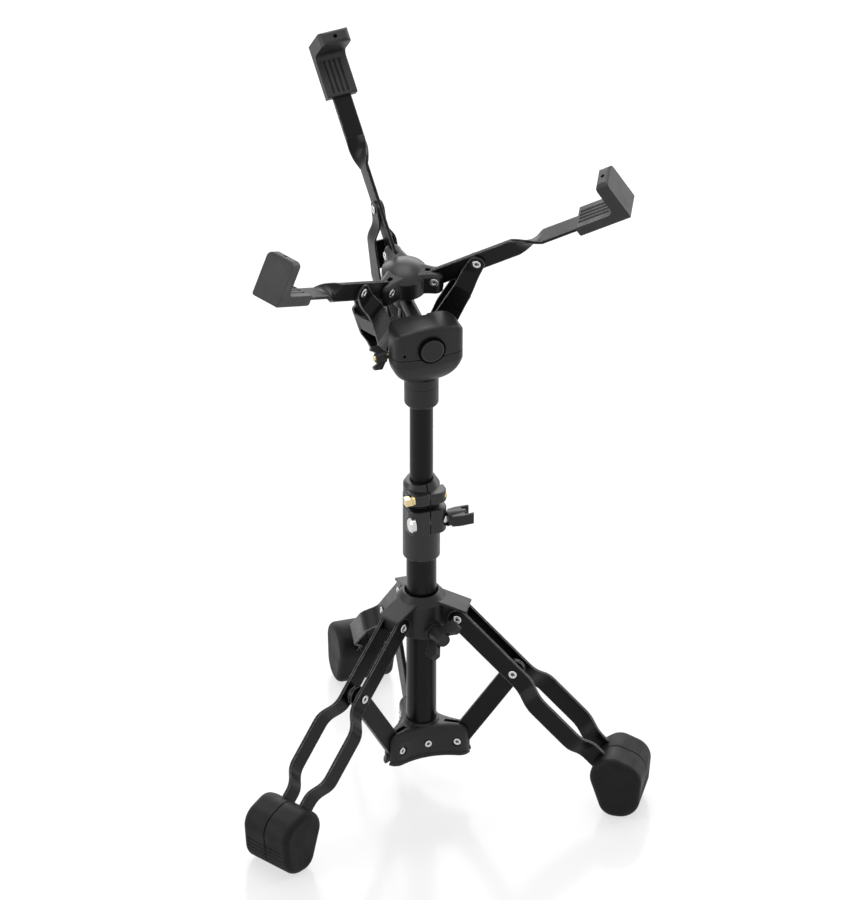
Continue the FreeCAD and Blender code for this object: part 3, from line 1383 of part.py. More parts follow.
def build():
    """Make every sub-part of the stand."""
    lower_tube()
    brace_collar()
    brace_pins()
    collar_rivet()
    leg_hub()
    hub_rivets()
    hub_wing_screw()
    for number, angle in enumerate(SPOKES, start=1):
        leg_strap("leg_%d_strap_left" % number, angle, 1)
        leg_strap("leg_%d_strap_right" % number, angle, -1)
        leg_rivet("leg_%d_rivet" % number, angle)
        leg_bushes("leg_%d_bushes" % number, angle)
        foot("leg_%d_foot" % number, angle)
        brace("brace_%d" % number, angle)
    height_clamp()
    clamp_bush()
    clamp_bolt()
    clamp_wing_nut()
    memory_lock()
    key_bolt()
    upper_tube()
    tilter_base()
    tilter_cap()
    tilter_disc()
    tilter_bolt()
    tilter_wing_nut()
    ball_liner()
    ball_stem()
    basket_rod()
    spider()
    spider_rivets()
    slider()
    slider_pins()
    basket_nut()
    for number, angle in enumerate(SPOKES, start=1):
        arm("arm_%d" % number, angle)
        claw("claw_%d" % number, angle)
        link("link_%d" % number, angle)
        link_rivet("link_%d_rivet" % number, angle)


def check_and_write():
    """Stop on any failed object or shape, then write each sub-part to its own file."""
    document.recompute()
    for item in document.Objects:
        if "Invalid" in item.State or "Error" in item.State:
            raise RuntimeError("failed object: " + item.Label)
    for item in pieces:
        if item.Shape.isNull() or not item.Shape.isValid() or item.Shape.Volume <= 0:
            raise RuntimeError("bad shape: " + item.Label)
    os.makedirs("parts", exist_ok=True)
    for item in pieces:
        item.Shape.exportStep("parts/%s.step" % item.Label)
    print("pieces", len(pieces))
    print("hub travel %.4f mm, brace swing %.4f deg" % (hub_travel, folded_lean - brace_lean))
    print("slider travel %.4f mm, link swing %.4f deg" % (slider_travel, closed_lean - link_lean))


build()
check_and_write()
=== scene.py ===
"""Looks of the snare drum stand: finishes, thread, rivets, disc ring and studio.

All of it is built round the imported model, in metres and in the model's own frame: +Z up, the
origin on the floor on the column's axis.
"""

import json
import logging
import math
from dataclasses import dataclass, field
from enum import Enum
from functools import partial
from typing import Any, Iterable, Optional

import bmesh
import bpy
from mathutils import Matrix, Vector

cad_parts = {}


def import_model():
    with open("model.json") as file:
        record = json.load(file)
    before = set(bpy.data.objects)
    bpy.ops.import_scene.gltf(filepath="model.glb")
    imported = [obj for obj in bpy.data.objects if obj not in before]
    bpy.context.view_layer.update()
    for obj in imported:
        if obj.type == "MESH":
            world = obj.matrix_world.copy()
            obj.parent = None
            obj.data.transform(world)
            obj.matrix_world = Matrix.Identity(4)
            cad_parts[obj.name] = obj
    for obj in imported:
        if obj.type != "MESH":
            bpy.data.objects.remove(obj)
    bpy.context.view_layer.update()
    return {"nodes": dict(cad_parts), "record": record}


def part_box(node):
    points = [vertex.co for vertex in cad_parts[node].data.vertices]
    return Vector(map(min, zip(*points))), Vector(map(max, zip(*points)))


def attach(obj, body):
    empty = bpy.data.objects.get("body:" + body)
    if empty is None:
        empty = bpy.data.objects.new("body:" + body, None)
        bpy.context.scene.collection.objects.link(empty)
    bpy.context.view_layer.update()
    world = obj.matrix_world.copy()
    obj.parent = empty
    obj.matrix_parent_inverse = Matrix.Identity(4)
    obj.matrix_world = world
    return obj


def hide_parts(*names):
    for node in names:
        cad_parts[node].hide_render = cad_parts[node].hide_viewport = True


LOG = logging.getLogger("snare_drum_stand")
MM = 0.001
WHITE = "#ffffff"
UP = Vector((0, 0, 1))
FRONT = Vector((0, -1, 0))
# Legs, braces, arms and links carry the same numbers.
LIMBS = (1, 2, 3)

# The sRGB curve: straight up to its toe, a power above it.
SRGB_TOE = 0.04045
SRGB_SLOPE = 12.92
SRGB_OFFSET = 0.055
SRGB_POWER = 2.4

# Scuffs are this much finer than the drift of the gloss.
SCUFF_SHARE = 0.22
# Values of the noise between which the scuffs, the drift and the broken rubbing come in.
SCUFF_SPAN = (0.55, 0.80)
DRIFT_SPAN = (0.3, 0.7)
RUB_AND_HIGHLIGHT_SPAN = (0.35, 0.65)
# Values of the noise between which the scuffs, the drift and the broken edge line (rubbed wear
# # and painted highlight) come in.
RUB_AND_HIGHLIGHT_SHARE = (0.25, 1.0)
# Cosines between the true and the rounded normal: no edge yet, and the middle of an edge.
EDGE_BEND = (0.995, 0.93)
BEVEL_SAMPLES = 4

# A thread is wound out of a grid of side 1, centred on the origin.
GRID_HALF = 0.5
# Share of a pitch between crest and root.
CREST_TO_ROOT = 0.5
# Rows this near to a rod's end are drawn in to its axis, in metres.
END_GAP = 1e-7
# Points this near to each other are joined, in metres.
WELD = 1e-6


def linear(code: str) -> tuple[float, float, float, float]:
    """Turn an sRGB hex colour into a linear one.

    Args:
        code: Six hex digits, with or without a leading hash.

    Returns:
        Linear red, green, blue and an alpha of 1.
    """
    digits = code.lstrip("#")
    channels = []
    for start in (0, 2, 4):
        value = int(digits[start:start + 2], 16) / 255
        if value <= SRGB_TOE:
            channels.append(value / SRGB_SLOPE)
        else:
            channels.append(((value + SRGB_OFFSET) / (1 + SRGB_OFFSET)) ** SRGB_POWER)
    red, green, blue = channels
    return (red, green, blue, 1.0)


def add_node(tree: bpy.types.NodeTree, kind: str, settings: Optional[dict[str, Any]] = None,
             inputs: Optional[dict[Any, Any]] = None) -> bpy.types.Node:
    """Add one node with its settings, input values and incoming links.

    Args:
        tree: Tree that gets the node.
        kind: Blender's identifier of the node.
        settings: Properties set on the node itself.
        inputs: Values or output sockets, by the input's name or number.

    Returns:
        The new node.
    """
    node = tree.nodes.new(kind)
    for name, value in (settings or {}).items():
        setattr(node, name, value)
    for name, value in (inputs or {}).items():
        if isinstance(value, bpy.types.NodeSocket):
            tree.links.new(value, node.inputs[name])
        else:
            node.inputs[name].default_value = value
    return node


def maths(tree: bpy.types.NodeTree, operation: str, first: Any,
          second: Any = 0.0) -> bpy.types.NodeSocket:
    """Work out one sum.

    Args:
        tree: Tree that gets the sum.
        operation: Blender's identifier of the sum.
        first: First value or socket.
        second: Second value or socket, where the sum has one.

    Returns:
        Socket with the result.
    """
    node = add_node(tree, "ShaderNodeMath", {"operation": operation}, {0: first, 1: second})
    return node.outputs["Value"]


def ranged(tree: bpy.types.NodeTree, value: bpy.types.NodeSocket, span: tuple[float, float],
           onto: tuple[float, float]) -> bpy.types.NodeSocket:
    """Carry a value from one range onto another, and hold it at the ends.

    Args:
        tree: Tree that gets the node.
        value: Socket with the value.
        span: Range that the value comes from.
        onto: Range that it goes to.

    Returns:
        Socket with the result.
    """
    node = add_node(tree, "ShaderNodeMapRange", inputs={
        "Value": value, "From Min": span[0], "From Max": span[1],
        "To Min": onto[0], "To Max": onto[1]})
    return node.outputs["Result"]


def attribute(tree: bpy.types.NodeTree, name: str, kind: str) -> bpy.types.NodeSocket:
    """Socket with a named attribute of a shape."""
    node = add_node(tree, "GeometryNodeInputNamedAttribute", {"data_type": kind}, {"Name": name})
    return node.outputs["Attribute"]


def joined(tree: bpy.types.NodeTree,
           parts: Iterable[bpy.types.NodeSocket]) -> bpy.types.NodeSocket:
    """Socket with several shapes in one."""
    node = add_node(tree, "GeometryNodeJoinGeometry")
    for part in parts:
        tree.links.new(part, node.inputs["Geometry"])
    return node.outputs["Geometry"]


def raised(tree: bpy.types.NodeTree, geometry: bpy.types.NodeSocket, height: Any,
           stretch: Any = 1.0) -> bpy.types.NodeSocket:
    """Stretch a shape along its axis and then raise it.

    Args:
        tree: Tree that gets the nodes.
        geometry: Socket with the shape.
        height: Value or socket of the rise.
        stretch: Value or socket of the stretch.

    Returns:
        Socket with the moved shape.
    """
    place = add_node(tree, "ShaderNodeCombineXYZ", inputs={"Z": height})
    scale = add_node(tree, "ShaderNodeCombineXYZ", inputs={"X": 1.0, "Y": 1.0, "Z": stretch})
    node = add_node(tree, "GeometryNodeTransform", inputs={
        "Geometry": geometry, "Translation": place.outputs["Vector"],
        "Scale": scale.outputs["Vector"]})
    return node.outputs["Geometry"]


def new_object(name: str, data: bpy.types.ID) -> bpy.types.Object:
    """Put an object with this data into the scene."""
    item = bpy.data.objects.new(name, data)
    bpy.context.scene.collection.objects.link(item)
    return item


def bare_material(name: str) -> bpy.types.Material:
    """Start a material with an empty tree."""
    material = bpy.data.materials.new(name)
    material.use_nodes = True
    material.node_tree.nodes.clear()
    return material


class Socket(Enum):
    """Kinds of socket of a tree that makes a piece."""

    GEOMETRY = "NodeSocketGeometry"
    NUMBER = "NodeSocketFloat"
    COUNT = "NodeSocketInt"
    MATERIAL = "NodeSocketMaterial"


def maker_tree(name: str, inputs: dict[str, Socket]) -> tuple[bpy.types.NodeTree, Any]:
    """Start a Geometry Nodes tree that makes a piece.

    Args:
        name: Name of the tree.
        inputs: Kind of each input, by its name.

    Returns:
        The tree, and its inputs as sockets to link from.
    """
    tree = bpy.data.node_groups.new(name, "GeometryNodeTree")
    for label, kind in inputs.items():
        tree.interface.new_socket(label, in_out="INPUT", socket_type=kind.value)
    tree.interface.new_socket("Geometry", in_out="OUTPUT", socket_type=Socket.GEOMETRY.value)
    return tree, add_node(tree, "NodeGroupInput").outputs


def settle(name: str, start: bpy.types.Mesh, tree: bpy.types.NodeTree,
           values: dict[str, Any]) -> bpy.types.Object:
    """Run a Geometry Nodes tree on a mesh and keep its result as a plain mesh.

    Args:
        name: Name of the piece.
        start: Mesh that the tree starts from.
        tree: Tree that makes the piece.
        values: Values of the tree's inputs, by name.

    Returns:
        The piece, at the origin, with no modifier.
    """
    maker = new_object(start.name, start)
    modifier = maker.modifiers.new("make", "NODES")
    modifier.node_group = tree
    for socket in tree.interface.items_tree:
        if socket.in_out == "INPUT" and socket.name in values:
            modifier[socket.identifier] = values[socket.name]
    graph = bpy.context.evaluated_depsgraph_get()
    mesh = bpy.data.meshes.new_from_object(maker.evaluated_get(graph), depsgraph=graph)
    mesh.name = name
    bpy.data.objects.remove(maker)
    return new_object(name, mesh)


class Slot(Enum):
    """Material slots of the record."""

    STEEL = "black_steel"
    CASTING = "black_casting"
    PLASTIC = "black_plastic"
    ZINC = "zinc"
    BRASS = "brass"
    RUBBER = "rubber"


@dataclass(frozen=True)
class Noise:
    """Character of a noise: how many finer layers it has, and how strong they are."""

    detail: float
    strength: float

    def add(self, tree: bpy.types.NodeTree, place: bpy.types.NodeSocket,
            size_mm: float) -> bpy.types.NodeSocket:
        """Add the noise to a material.

        Args:
            tree: Tree of the material.
            place: Socket with the coordinates.
            size_mm: Size of the pattern, in millimetres.

        Returns:
            Socket with the noise.
        """
        node = add_node(tree, "ShaderNodeTexNoise", inputs={
            "Vector": place, "Scale": 1.0 / (size_mm * MM), "Detail": self.detail,
            "Roughness": self.strength})
        return node.outputs["Fac"]


DRIFT_NOISE = Noise(detail=4.0, strength=0.6)
SCUFF_NOISE = Noise(detail=6.0, strength=0.72)
GRAIN_NOISE = Noise(detail=3.0, strength=0.55)


@dataclass(frozen=True)
class Finish:
    """A surface finish: base colours, gloss, the grain that its making leaves, and its edges.

    The colour drifts towards a second tone in scuffs and along the edges: the scuffs are wear,
    and the lighter edges are mostly a painted highlight, with some rubbed wear. The roughness
    varies over the piece, a fine grain breaks up the highlights as bump, and the edges are shaded
    as if they were slightly rounded, so that they catch the light.
    """

    name: str
    slot: Slot
    tone: str
    wear_and_highlight_tone: str
    roughness: float
    roughness_drift: float
    grain_mm: float
    grain_depth_mm: float
    drift_mm: float
    wear: float
    edge_mm: float
    edge_wear_and_highlight: float
    metallic: float = 0.0
    specular: float = 0.5
    ior: float = 1.5

    def material(self) -> bpy.types.Material:
        """Build the procedural material of this finish.

        Returns:
            The material, on Object coordinates.
        """
        material = bare_material(self.name)
        tree = material.node_tree
        place = add_node(tree, "ShaderNodeTexCoord").outputs["Object"]
        drift = DRIFT_NOISE.add(tree, place, self.drift_mm)
        scuffs = SCUFF_NOISE.add(tree, place, self.drift_mm * SCUFF_SHARE)
        grain = GRAIN_NOISE.add(tree, place, self.grain_mm)
        scuffed = ranged(tree, scuffs, SCUFF_SPAN, (0.0, self.wear))
        rounded = add_node(tree, "ShaderNodeBevel", {"samples": BEVEL_SAMPLES}, {
            "Radius": self.edge_mm * MM}).outputs["Normal"]
        # Scuffs are wear; the lightened edges are mostly a painted highlight, with some rubbed
        # wear.
        wear_and_highlight = add_node(tree, "ShaderNodeMath", {"operation": "ADD", "use_clamp": True}, {
            0: scuffed, 1: self.rubbed_and_highlit_edges(tree, rounded, scuffs)})
        colour = add_node(tree, "ShaderNodeMix", {"data_type": "RGBA"}, {
            "Factor": wear_and_highlight.outputs["Value"], "A": linear(self.tone), "B": linear(self.wear_and_highlight_tone)})
        rough = ranged(tree, drift, DRIFT_SPAN, (
            self.roughness - self.roughness_drift, self.roughness + self.roughness_drift))
        bump = add_node(tree, "ShaderNodeBump", inputs={
            "Height": grain, "Strength": 1.0, "Distance": self.grain_depth_mm * MM,
            "Normal": rounded})
        shader = add_node(tree, "ShaderNodeBsdfPrincipled", inputs={
            "Base Color": colour.outputs["Result"], "Roughness": rough, "Metallic": self.metallic,
            "IOR": self.ior, "Specular IOR Level": self.specular,
            "Normal": bump.outputs["Normal"]})
        add_node(tree, "ShaderNodeOutputMaterial", inputs={"Surface": shader.outputs["BSDF"]})
        return material

    def rubbed_and_highlit_edges(self, tree: bpy.types.NodeTree, rounded: bpy.types.NodeSocket,
                     scuffs: bpy.types.NodeSocket) -> bpy.types.NodeSocket:
        """Find the lightened edges: rubbed wear, and a painted highlight.

        Args:
            tree: Tree of the material.
            rounded: Normal that rounds the edges' shading.
            scuffs: Noise that breaks up the lightened line.

        Returns:
            Socket with the share of the edge tone, rubbed wear and painted highlight, nothing away
            from an edge.
        """
        surface = add_node(tree, "ShaderNodeNewGeometry").outputs["Normal"]
        bend = add_node(tree, "ShaderNodeVectorMath", {"operation": "DOT_PRODUCT"}, {
            0: rounded, 1: surface})
        edge = ranged(tree, bend.outputs["Value"], EDGE_BEND, (0.0, self.edge_wear_and_highlight))
        return maths(tree, "MULTIPLY", edge, ranged(tree, scuffs, RUB_AND_HIGHLIGHT_SPAN, RUB_AND_HIGHLIGHT_SHARE))


# Satin powder coat on steel: an even sheen with a faint orange peel; its edges are painted pale
# # grey, a painted highlight along them with a little rubbed wear.
POWDER_COAT = Finish(
    "powder_coated_steel", Slot.STEEL, "#111112", "#b4b4b7", roughness=0.28,
    roughness_drift=0.06, grain_mm=1.3, grain_depth_mm=0.008, drift_mm=26.0, wear=0.012,
    edge_mm=1.4, edge_wear_and_highlight=0.90, specular=0.15)
# Die-cast zinc under black enamel: glossier than the nylon, with soft casting ripple; its edges
# # are painted lighter grey, mostly a painted highlight.
CAST_ENAMEL = Finish(
    "enamelled_die_casting", Slot.CASTING, "#1a1a1b", "#7c7c7e", roughness=0.36,
    roughness_drift=0.07, grain_mm=1.6, grain_depth_mm=0.018, drift_mm=20.0, wear=0.03,
    edge_mm=1.0, edge_wear_and_highlight=0.50, specular=0.42)
# Glass-filled nylon from an etched mould: matte, with a fine pebble that scatters the light; its
# # edges are painted lighter grey, mostly a painted highlight.
MOULDED_NYLON = Finish(
    "moulded_nylon", Slot.PLASTIC, "#232325", "#6e6e70", roughness=0.40,
    roughness_drift=0.06, grain_mm=0.9, grain_depth_mm=0.022, drift_mm=24.0, wear=0.03,
    edge_mm=1.0, edge_wear_and_highlight=0.40, specular=0.28)
# Zinc-plated steel: bright, with small dull patches where the plating is thin.
BRIGHT_ZINC = Finish(
    "bright_zinc_plate", Slot.ZINC, "#d0d0ce", "#a3a39f", roughness=0.22,
    roughness_drift=0.07, grain_mm=0.8, grain_depth_mm=0.006, drift_mm=5.0, wear=0.5,
    edge_mm=0.25, edge_wear_and_highlight=0.0, metallic=1.0)
# Blackened steel: oiled oxide that is dark in the middle and bright where it turns away.
BLACK_OXIDE = Finish(
    "blackened_steel", Slot.ZINC, "#4a4a4c", "#7d7d7e", roughness=0.26,
    roughness_drift=0.06, grain_mm=0.8, grain_depth_mm=0.006, drift_mm=8.0, wear=0.3,
    edge_mm=0.25, edge_wear_and_highlight=0.3, metallic=1.0)
# Turned brass: warm and bright, with a drawn haze.
TURNED_BRASS = Finish(
    "turned_brass", Slot.BRASS, "#dccb9c", "#a58f5c", roughness=0.24,
    roughness_drift=0.08, grain_mm=0.7, grain_depth_mm=0.006, drift_mm=5.0, wear=0.5,
    edge_mm=0.3, edge_wear_and_highlight=0.0, metallic=1.0)
# Moulded rubber: dull, with the mould's grain and a trace of dust.
MOULDED_RUBBER = Finish(
    "moulded_rubber", Slot.RUBBER, "#101011", "#343335", roughness=0.58,
    roughness_drift=0.08, grain_mm=1.1, grain_depth_mm=0.045, drift_mm=18.0, wear=0.30,
    edge_mm=0.8, edge_wear_and_highlight=0.25, specular=0.18, ior=1.52)
# Softer rubber of the claws: greyer, because hands and drums polish it.
HANDLED_RUBBER = Finish(
    "handled_rubber", Slot.RUBBER, "#1c1c1d", "#48474a", roughness=0.50,
    roughness_drift=0.07, grain_mm=1.1, grain_depth_mm=0.035, drift_mm=18.0, wear=0.35,
    edge_mm=0.8, edge_wear_and_highlight=0.35, specular=0.42, ior=1.52)
# Near-black, dull finish of the ring round the tilter's disc: a painted shade of the groove there.
SHADE_RING_BLACK = Finish(
    "painted_shade_black", Slot.RUBBER, "#040404", "#0d0d0d", roughness=0.88,
    roughness_drift=0.06, grain_mm=0.6, grain_depth_mm=0.05, drift_mm=9.0, wear=0.2,
    edge_mm=0.3, edge_wear_and_highlight=0.0, specular=0.04)

FINISHES = (POWDER_COAT, CAST_ENAMEL, MOULDED_NYLON, BRIGHT_ZINC, BLACK_OXIDE, TURNED_BRASS,
            MOULDED_RUBBER, HANDLED_RUBBER, SHADE_RING_BLACK)


@dataclass
class Palette:
    """The materials of the stand, one for each finish."""

    materials: dict[Finish, bpy.types.Material] = field(default_factory=dict)

    def build(self) -> None:
        """Build every finish once."""
        for finish in FINISHES:
            self.materials[finish] = finish.material()

    def dress(self, node: bpy.types.Object, finish: Finish) -> None:
        """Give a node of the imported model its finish.

        Args:
            node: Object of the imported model.
            finish: Finish that covers it.
        """
        node.data.materials.clear()
        node.data.materials.append(self.materials[finish])
        LOG.info("dressed %s in %s", node.name, finish.name)


@dataclass
class Assembly:
    """A group of nodes that are dressed together."""

    nodes: dict[str, bpy.types.Object]
    palette: Palette

    def cover(self, finish: Finish, *names: str) -> None:
        """Dress several nodes in one finish.

        Args:
            finish: Finish that covers them.
            names: Names of the nodes.
        """
        for name in names:
            self.palette.dress(self.nodes[name], finish)


@dataclass
class Tripod(Assembly):
    """Collar, sliding hub, legs, braces and feet."""

    def dress(self) -> None:
        """Dress the tripod's nodes."""
        self.cover(POWDER_COAT, "lower_tube")
        self.cover(MOULDED_NYLON, "brace_collar", "leg_hub", "hub_wing_screw")
        for limb in LIMBS:
            self.cover(POWDER_COAT, f"leg_{limb}_strap_left", f"leg_{limb}_strap_right",
                       f"brace_{limb}")
            self.cover(MOULDED_NYLON, f"leg_{limb}_bushes")
            self.cover(MOULDED_RUBBER, f"leg_{limb}_foot")


@dataclass
class Column(Assembly):
    """Height clamp, memory lock and sliding tube."""

    def dress(self) -> None:
        """Dress the column's nodes."""
        self.cover(POWDER_COAT, "upper_tube")
        self.cover(CAST_ENAMEL, "height_clamp", "memory_lock")
        self.cover(MOULDED_NYLON, "clamp_bush", "clamp_wing_nut")
        self.cover(BRIGHT_ZINC, "clamp_bolt")
        self.cover(TURNED_BRASS, "key_bolt")


@dataclass
class Tilter(Assembly):
    """Ball tilter under the basket."""

    def dress(self) -> None:
        """Dress the tilter's nodes."""
        self.cover(MOULDED_NYLON, "tilter_base", "tilter_cap", "tilter_disc", "tilter_wing_nut",
                   "ball_liner")
        self.cover(TURNED_BRASS, "tilter_bolt")
        self.cover(CAST_ENAMEL, "ball_stem")


@dataclass
class Basket(Assembly):
    """Spider, arms, links, slider and claws."""

    def dress(self) -> None:
        """Dress the basket's nodes."""
        self.cover(CAST_ENAMEL, "basket_spider", "basket_slider")
        self.cover(MOULDED_NYLON, "basket_nut")
        for limb in LIMBS:
            self.cover(POWDER_COAT, f"arm_{limb}", f"link_{limb}")
            self.cover(HANDLED_RUBBER, f"claw_{limb}")


@dataclass(frozen=True)
class Thread:
    """A screw thread cut on a rod: its sizes in millimetres."""

    name: str
    radius: float
    pitch: float
    depth: float
    chamfer: float = 0.8
    segments: int = 28
    rows_per_pitch: int = 8
    end_rows: int = 2

    def tree(self) -> bpy.types.NodeTree:
        """Build the Geometry Nodes tree that winds a threaded rod out of a flat grid.

        Returns:
            Tree with the rod's sizes, in metres, and its material as named inputs.
        """
        tree, size = maker_tree(self.name, {
            "Radius": Socket.NUMBER, "Length": Socket.NUMBER, "Threaded": Socket.NUMBER,
            "Pitch": Socket.NUMBER, "Depth": Socket.NUMBER, "Chamfer": Socket.NUMBER,
            "Segments": Socket.COUNT, "Rows": Socket.COUNT, "Finish": Socket.MATERIAL})
        sums = partial(maths, tree)
        grid = add_node(tree, "GeometryNodeMeshGrid", inputs={
            "Size X": 1.0, "Size Y": 1.0, "Vertices X": size["Segments"],
            "Vertices Y": size["Rows"]})
        spot = add_node(tree, "ShaderNodeSeparateXYZ", inputs={
            "Vector": add_node(tree, "GeometryNodeInputPosition").outputs["Position"]})
        turn = sums("ADD", spot.outputs["X"], GRID_HALF)
        along = sums("MULTIPLY", sums("ADD", spot.outputs["Y"], GRID_HALF), size["Length"])
        pitches = sums("SUBTRACT", sums("DIVIDE", along, size["Pitch"]), turn)
        flank = sums("DIVIDE", sums("PINGPONG", pitches, CREST_TO_ROOT), CREST_TO_ROOT)
        runout = sums("DIVIDE", sums("SUBTRACT", size["Threaded"], along), size["Pitch"])
        cut = sums("MULTIPLY", sums("MINIMUM", sums("MAXIMUM", runout, 0.0), 1.0), size["Depth"])
        outside = sums("SUBTRACT", size["Radius"], sums("MULTIPLY", flank, cut))
        end = sums("MINIMUM", along, sums("SUBTRACT", size["Length"], along))
        slope = sums("ADD", sums("SUBTRACT", size["Radius"], size["Chamfer"]), end)
        inside = sums("GREATER_THAN", end, END_GAP)
        reach = sums("MULTIPLY", sums("MINIMUM", outside, slope), inside)
        angle = sums("MULTIPLY", turn, math.tau)
        point = add_node(tree, "ShaderNodeCombineXYZ", inputs={
            "X": sums("MULTIPLY", reach, sums("COSINE", angle)),
            "Y": sums("MULTIPLY", reach, sums("SINE", angle)), "Z": along})
        wound = add_node(tree, "GeometryNodeSetPosition", inputs={
            "Geometry": grid.outputs["Mesh"], "Position": point.outputs["Vector"]})
        closed = add_node(tree, "GeometryNodeMergeByDistance", inputs={
            "Geometry": wound.outputs["Geometry"], "Distance": WELD})
        whole = add_node(tree, "GeometryNodeRealizeInstances", inputs={
            "Geometry": closed.outputs["Geometry"]})
        dressed = add_node(tree, "GeometryNodeSetMaterial", inputs={
            "Geometry": whole.outputs["Geometry"], "Material": size["Finish"]})
        add_node(tree, "NodeGroupOutput", inputs={"Geometry": dressed.outputs["Geometry"]})
        return tree

    def build(self, foot: Vector, axis: Vector, length: float, threaded: float,
              material: bpy.types.Material) -> bpy.types.Object:
        """Make the rod as a plain mesh in its place.

        Args:
            foot: Centre of the rod's threaded end, in metres.
            axis: Direction from that end along the rod.
            length: Length of the rod, in metres.
            threaded: Length of its thread, in metres.
            material: Material that covers it.

        Returns:
            The rod, at the origin, with its place in its mesh.
        """
        rows = int(length / (self.pitch * MM) * self.rows_per_pitch) + self.end_rows
        rod = settle(self.name, bpy.data.meshes.new(self.name + "_maker"), self.tree(), {
            "Radius": self.radius * MM, "Length": length, "Threaded": threaded,
            "Pitch": self.pitch * MM, "Depth": self.depth * MM, "Chamfer": self.chamfer * MM,
            "Segments": self.segments + 1, "Rows": rows, "Finish": material})
        turn = axis.to_track_quat("Z", "Y").to_matrix().to_4x4()
        rod.data.transform(Matrix.Translation(foot) @ turn)
        return rod


@dataclass
class BasketRod:
    """Rod of the basket, threaded from the nut's end to the far side of the slider."""

    nodes: dict[str, bpy.types.Object]
    palette: Palette
    joints: dict[str, dict[str, Any]]
    thread: Thread = Thread("basket_rod_thread", radius=5.0, pitch=1.6, depth=0.55)

    def far_end(self, name: str, start: Vector, axis: Vector) -> float:
        """Distance from a point to a node's far end along an axis, in metres."""
        return max((vertex.co - start).dot(axis) for vertex in self.nodes[name].data.vertices)

    def build(self) -> None:
        """Wind the rod and hang it on the basket."""
        joint = self.joints["basket_nut_turn"]
        start = Vector(joint["pos_m"])
        axis = -Vector(joint["axis"])
        foot = self.far_end("basket_rod", start, axis)
        length = foot + self.far_end("basket_rod", start, -axis)
        threaded = foot + self.far_end("basket_slider", start, -axis)
        rod = self.thread.build(start + axis * foot, -axis, length, threaded,
                                self.palette.materials[BLACK_OXIDE])
        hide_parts("basket_rod")
        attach(rod, "basket")
        LOG.info("wound %s", rod.name)


@dataclass(frozen=True)
class Half:
    """Half a rivet: the seat of its head, where the head faces, and the shank behind, in metres."""

    seat: Vector
    outward: Vector
    reach: float


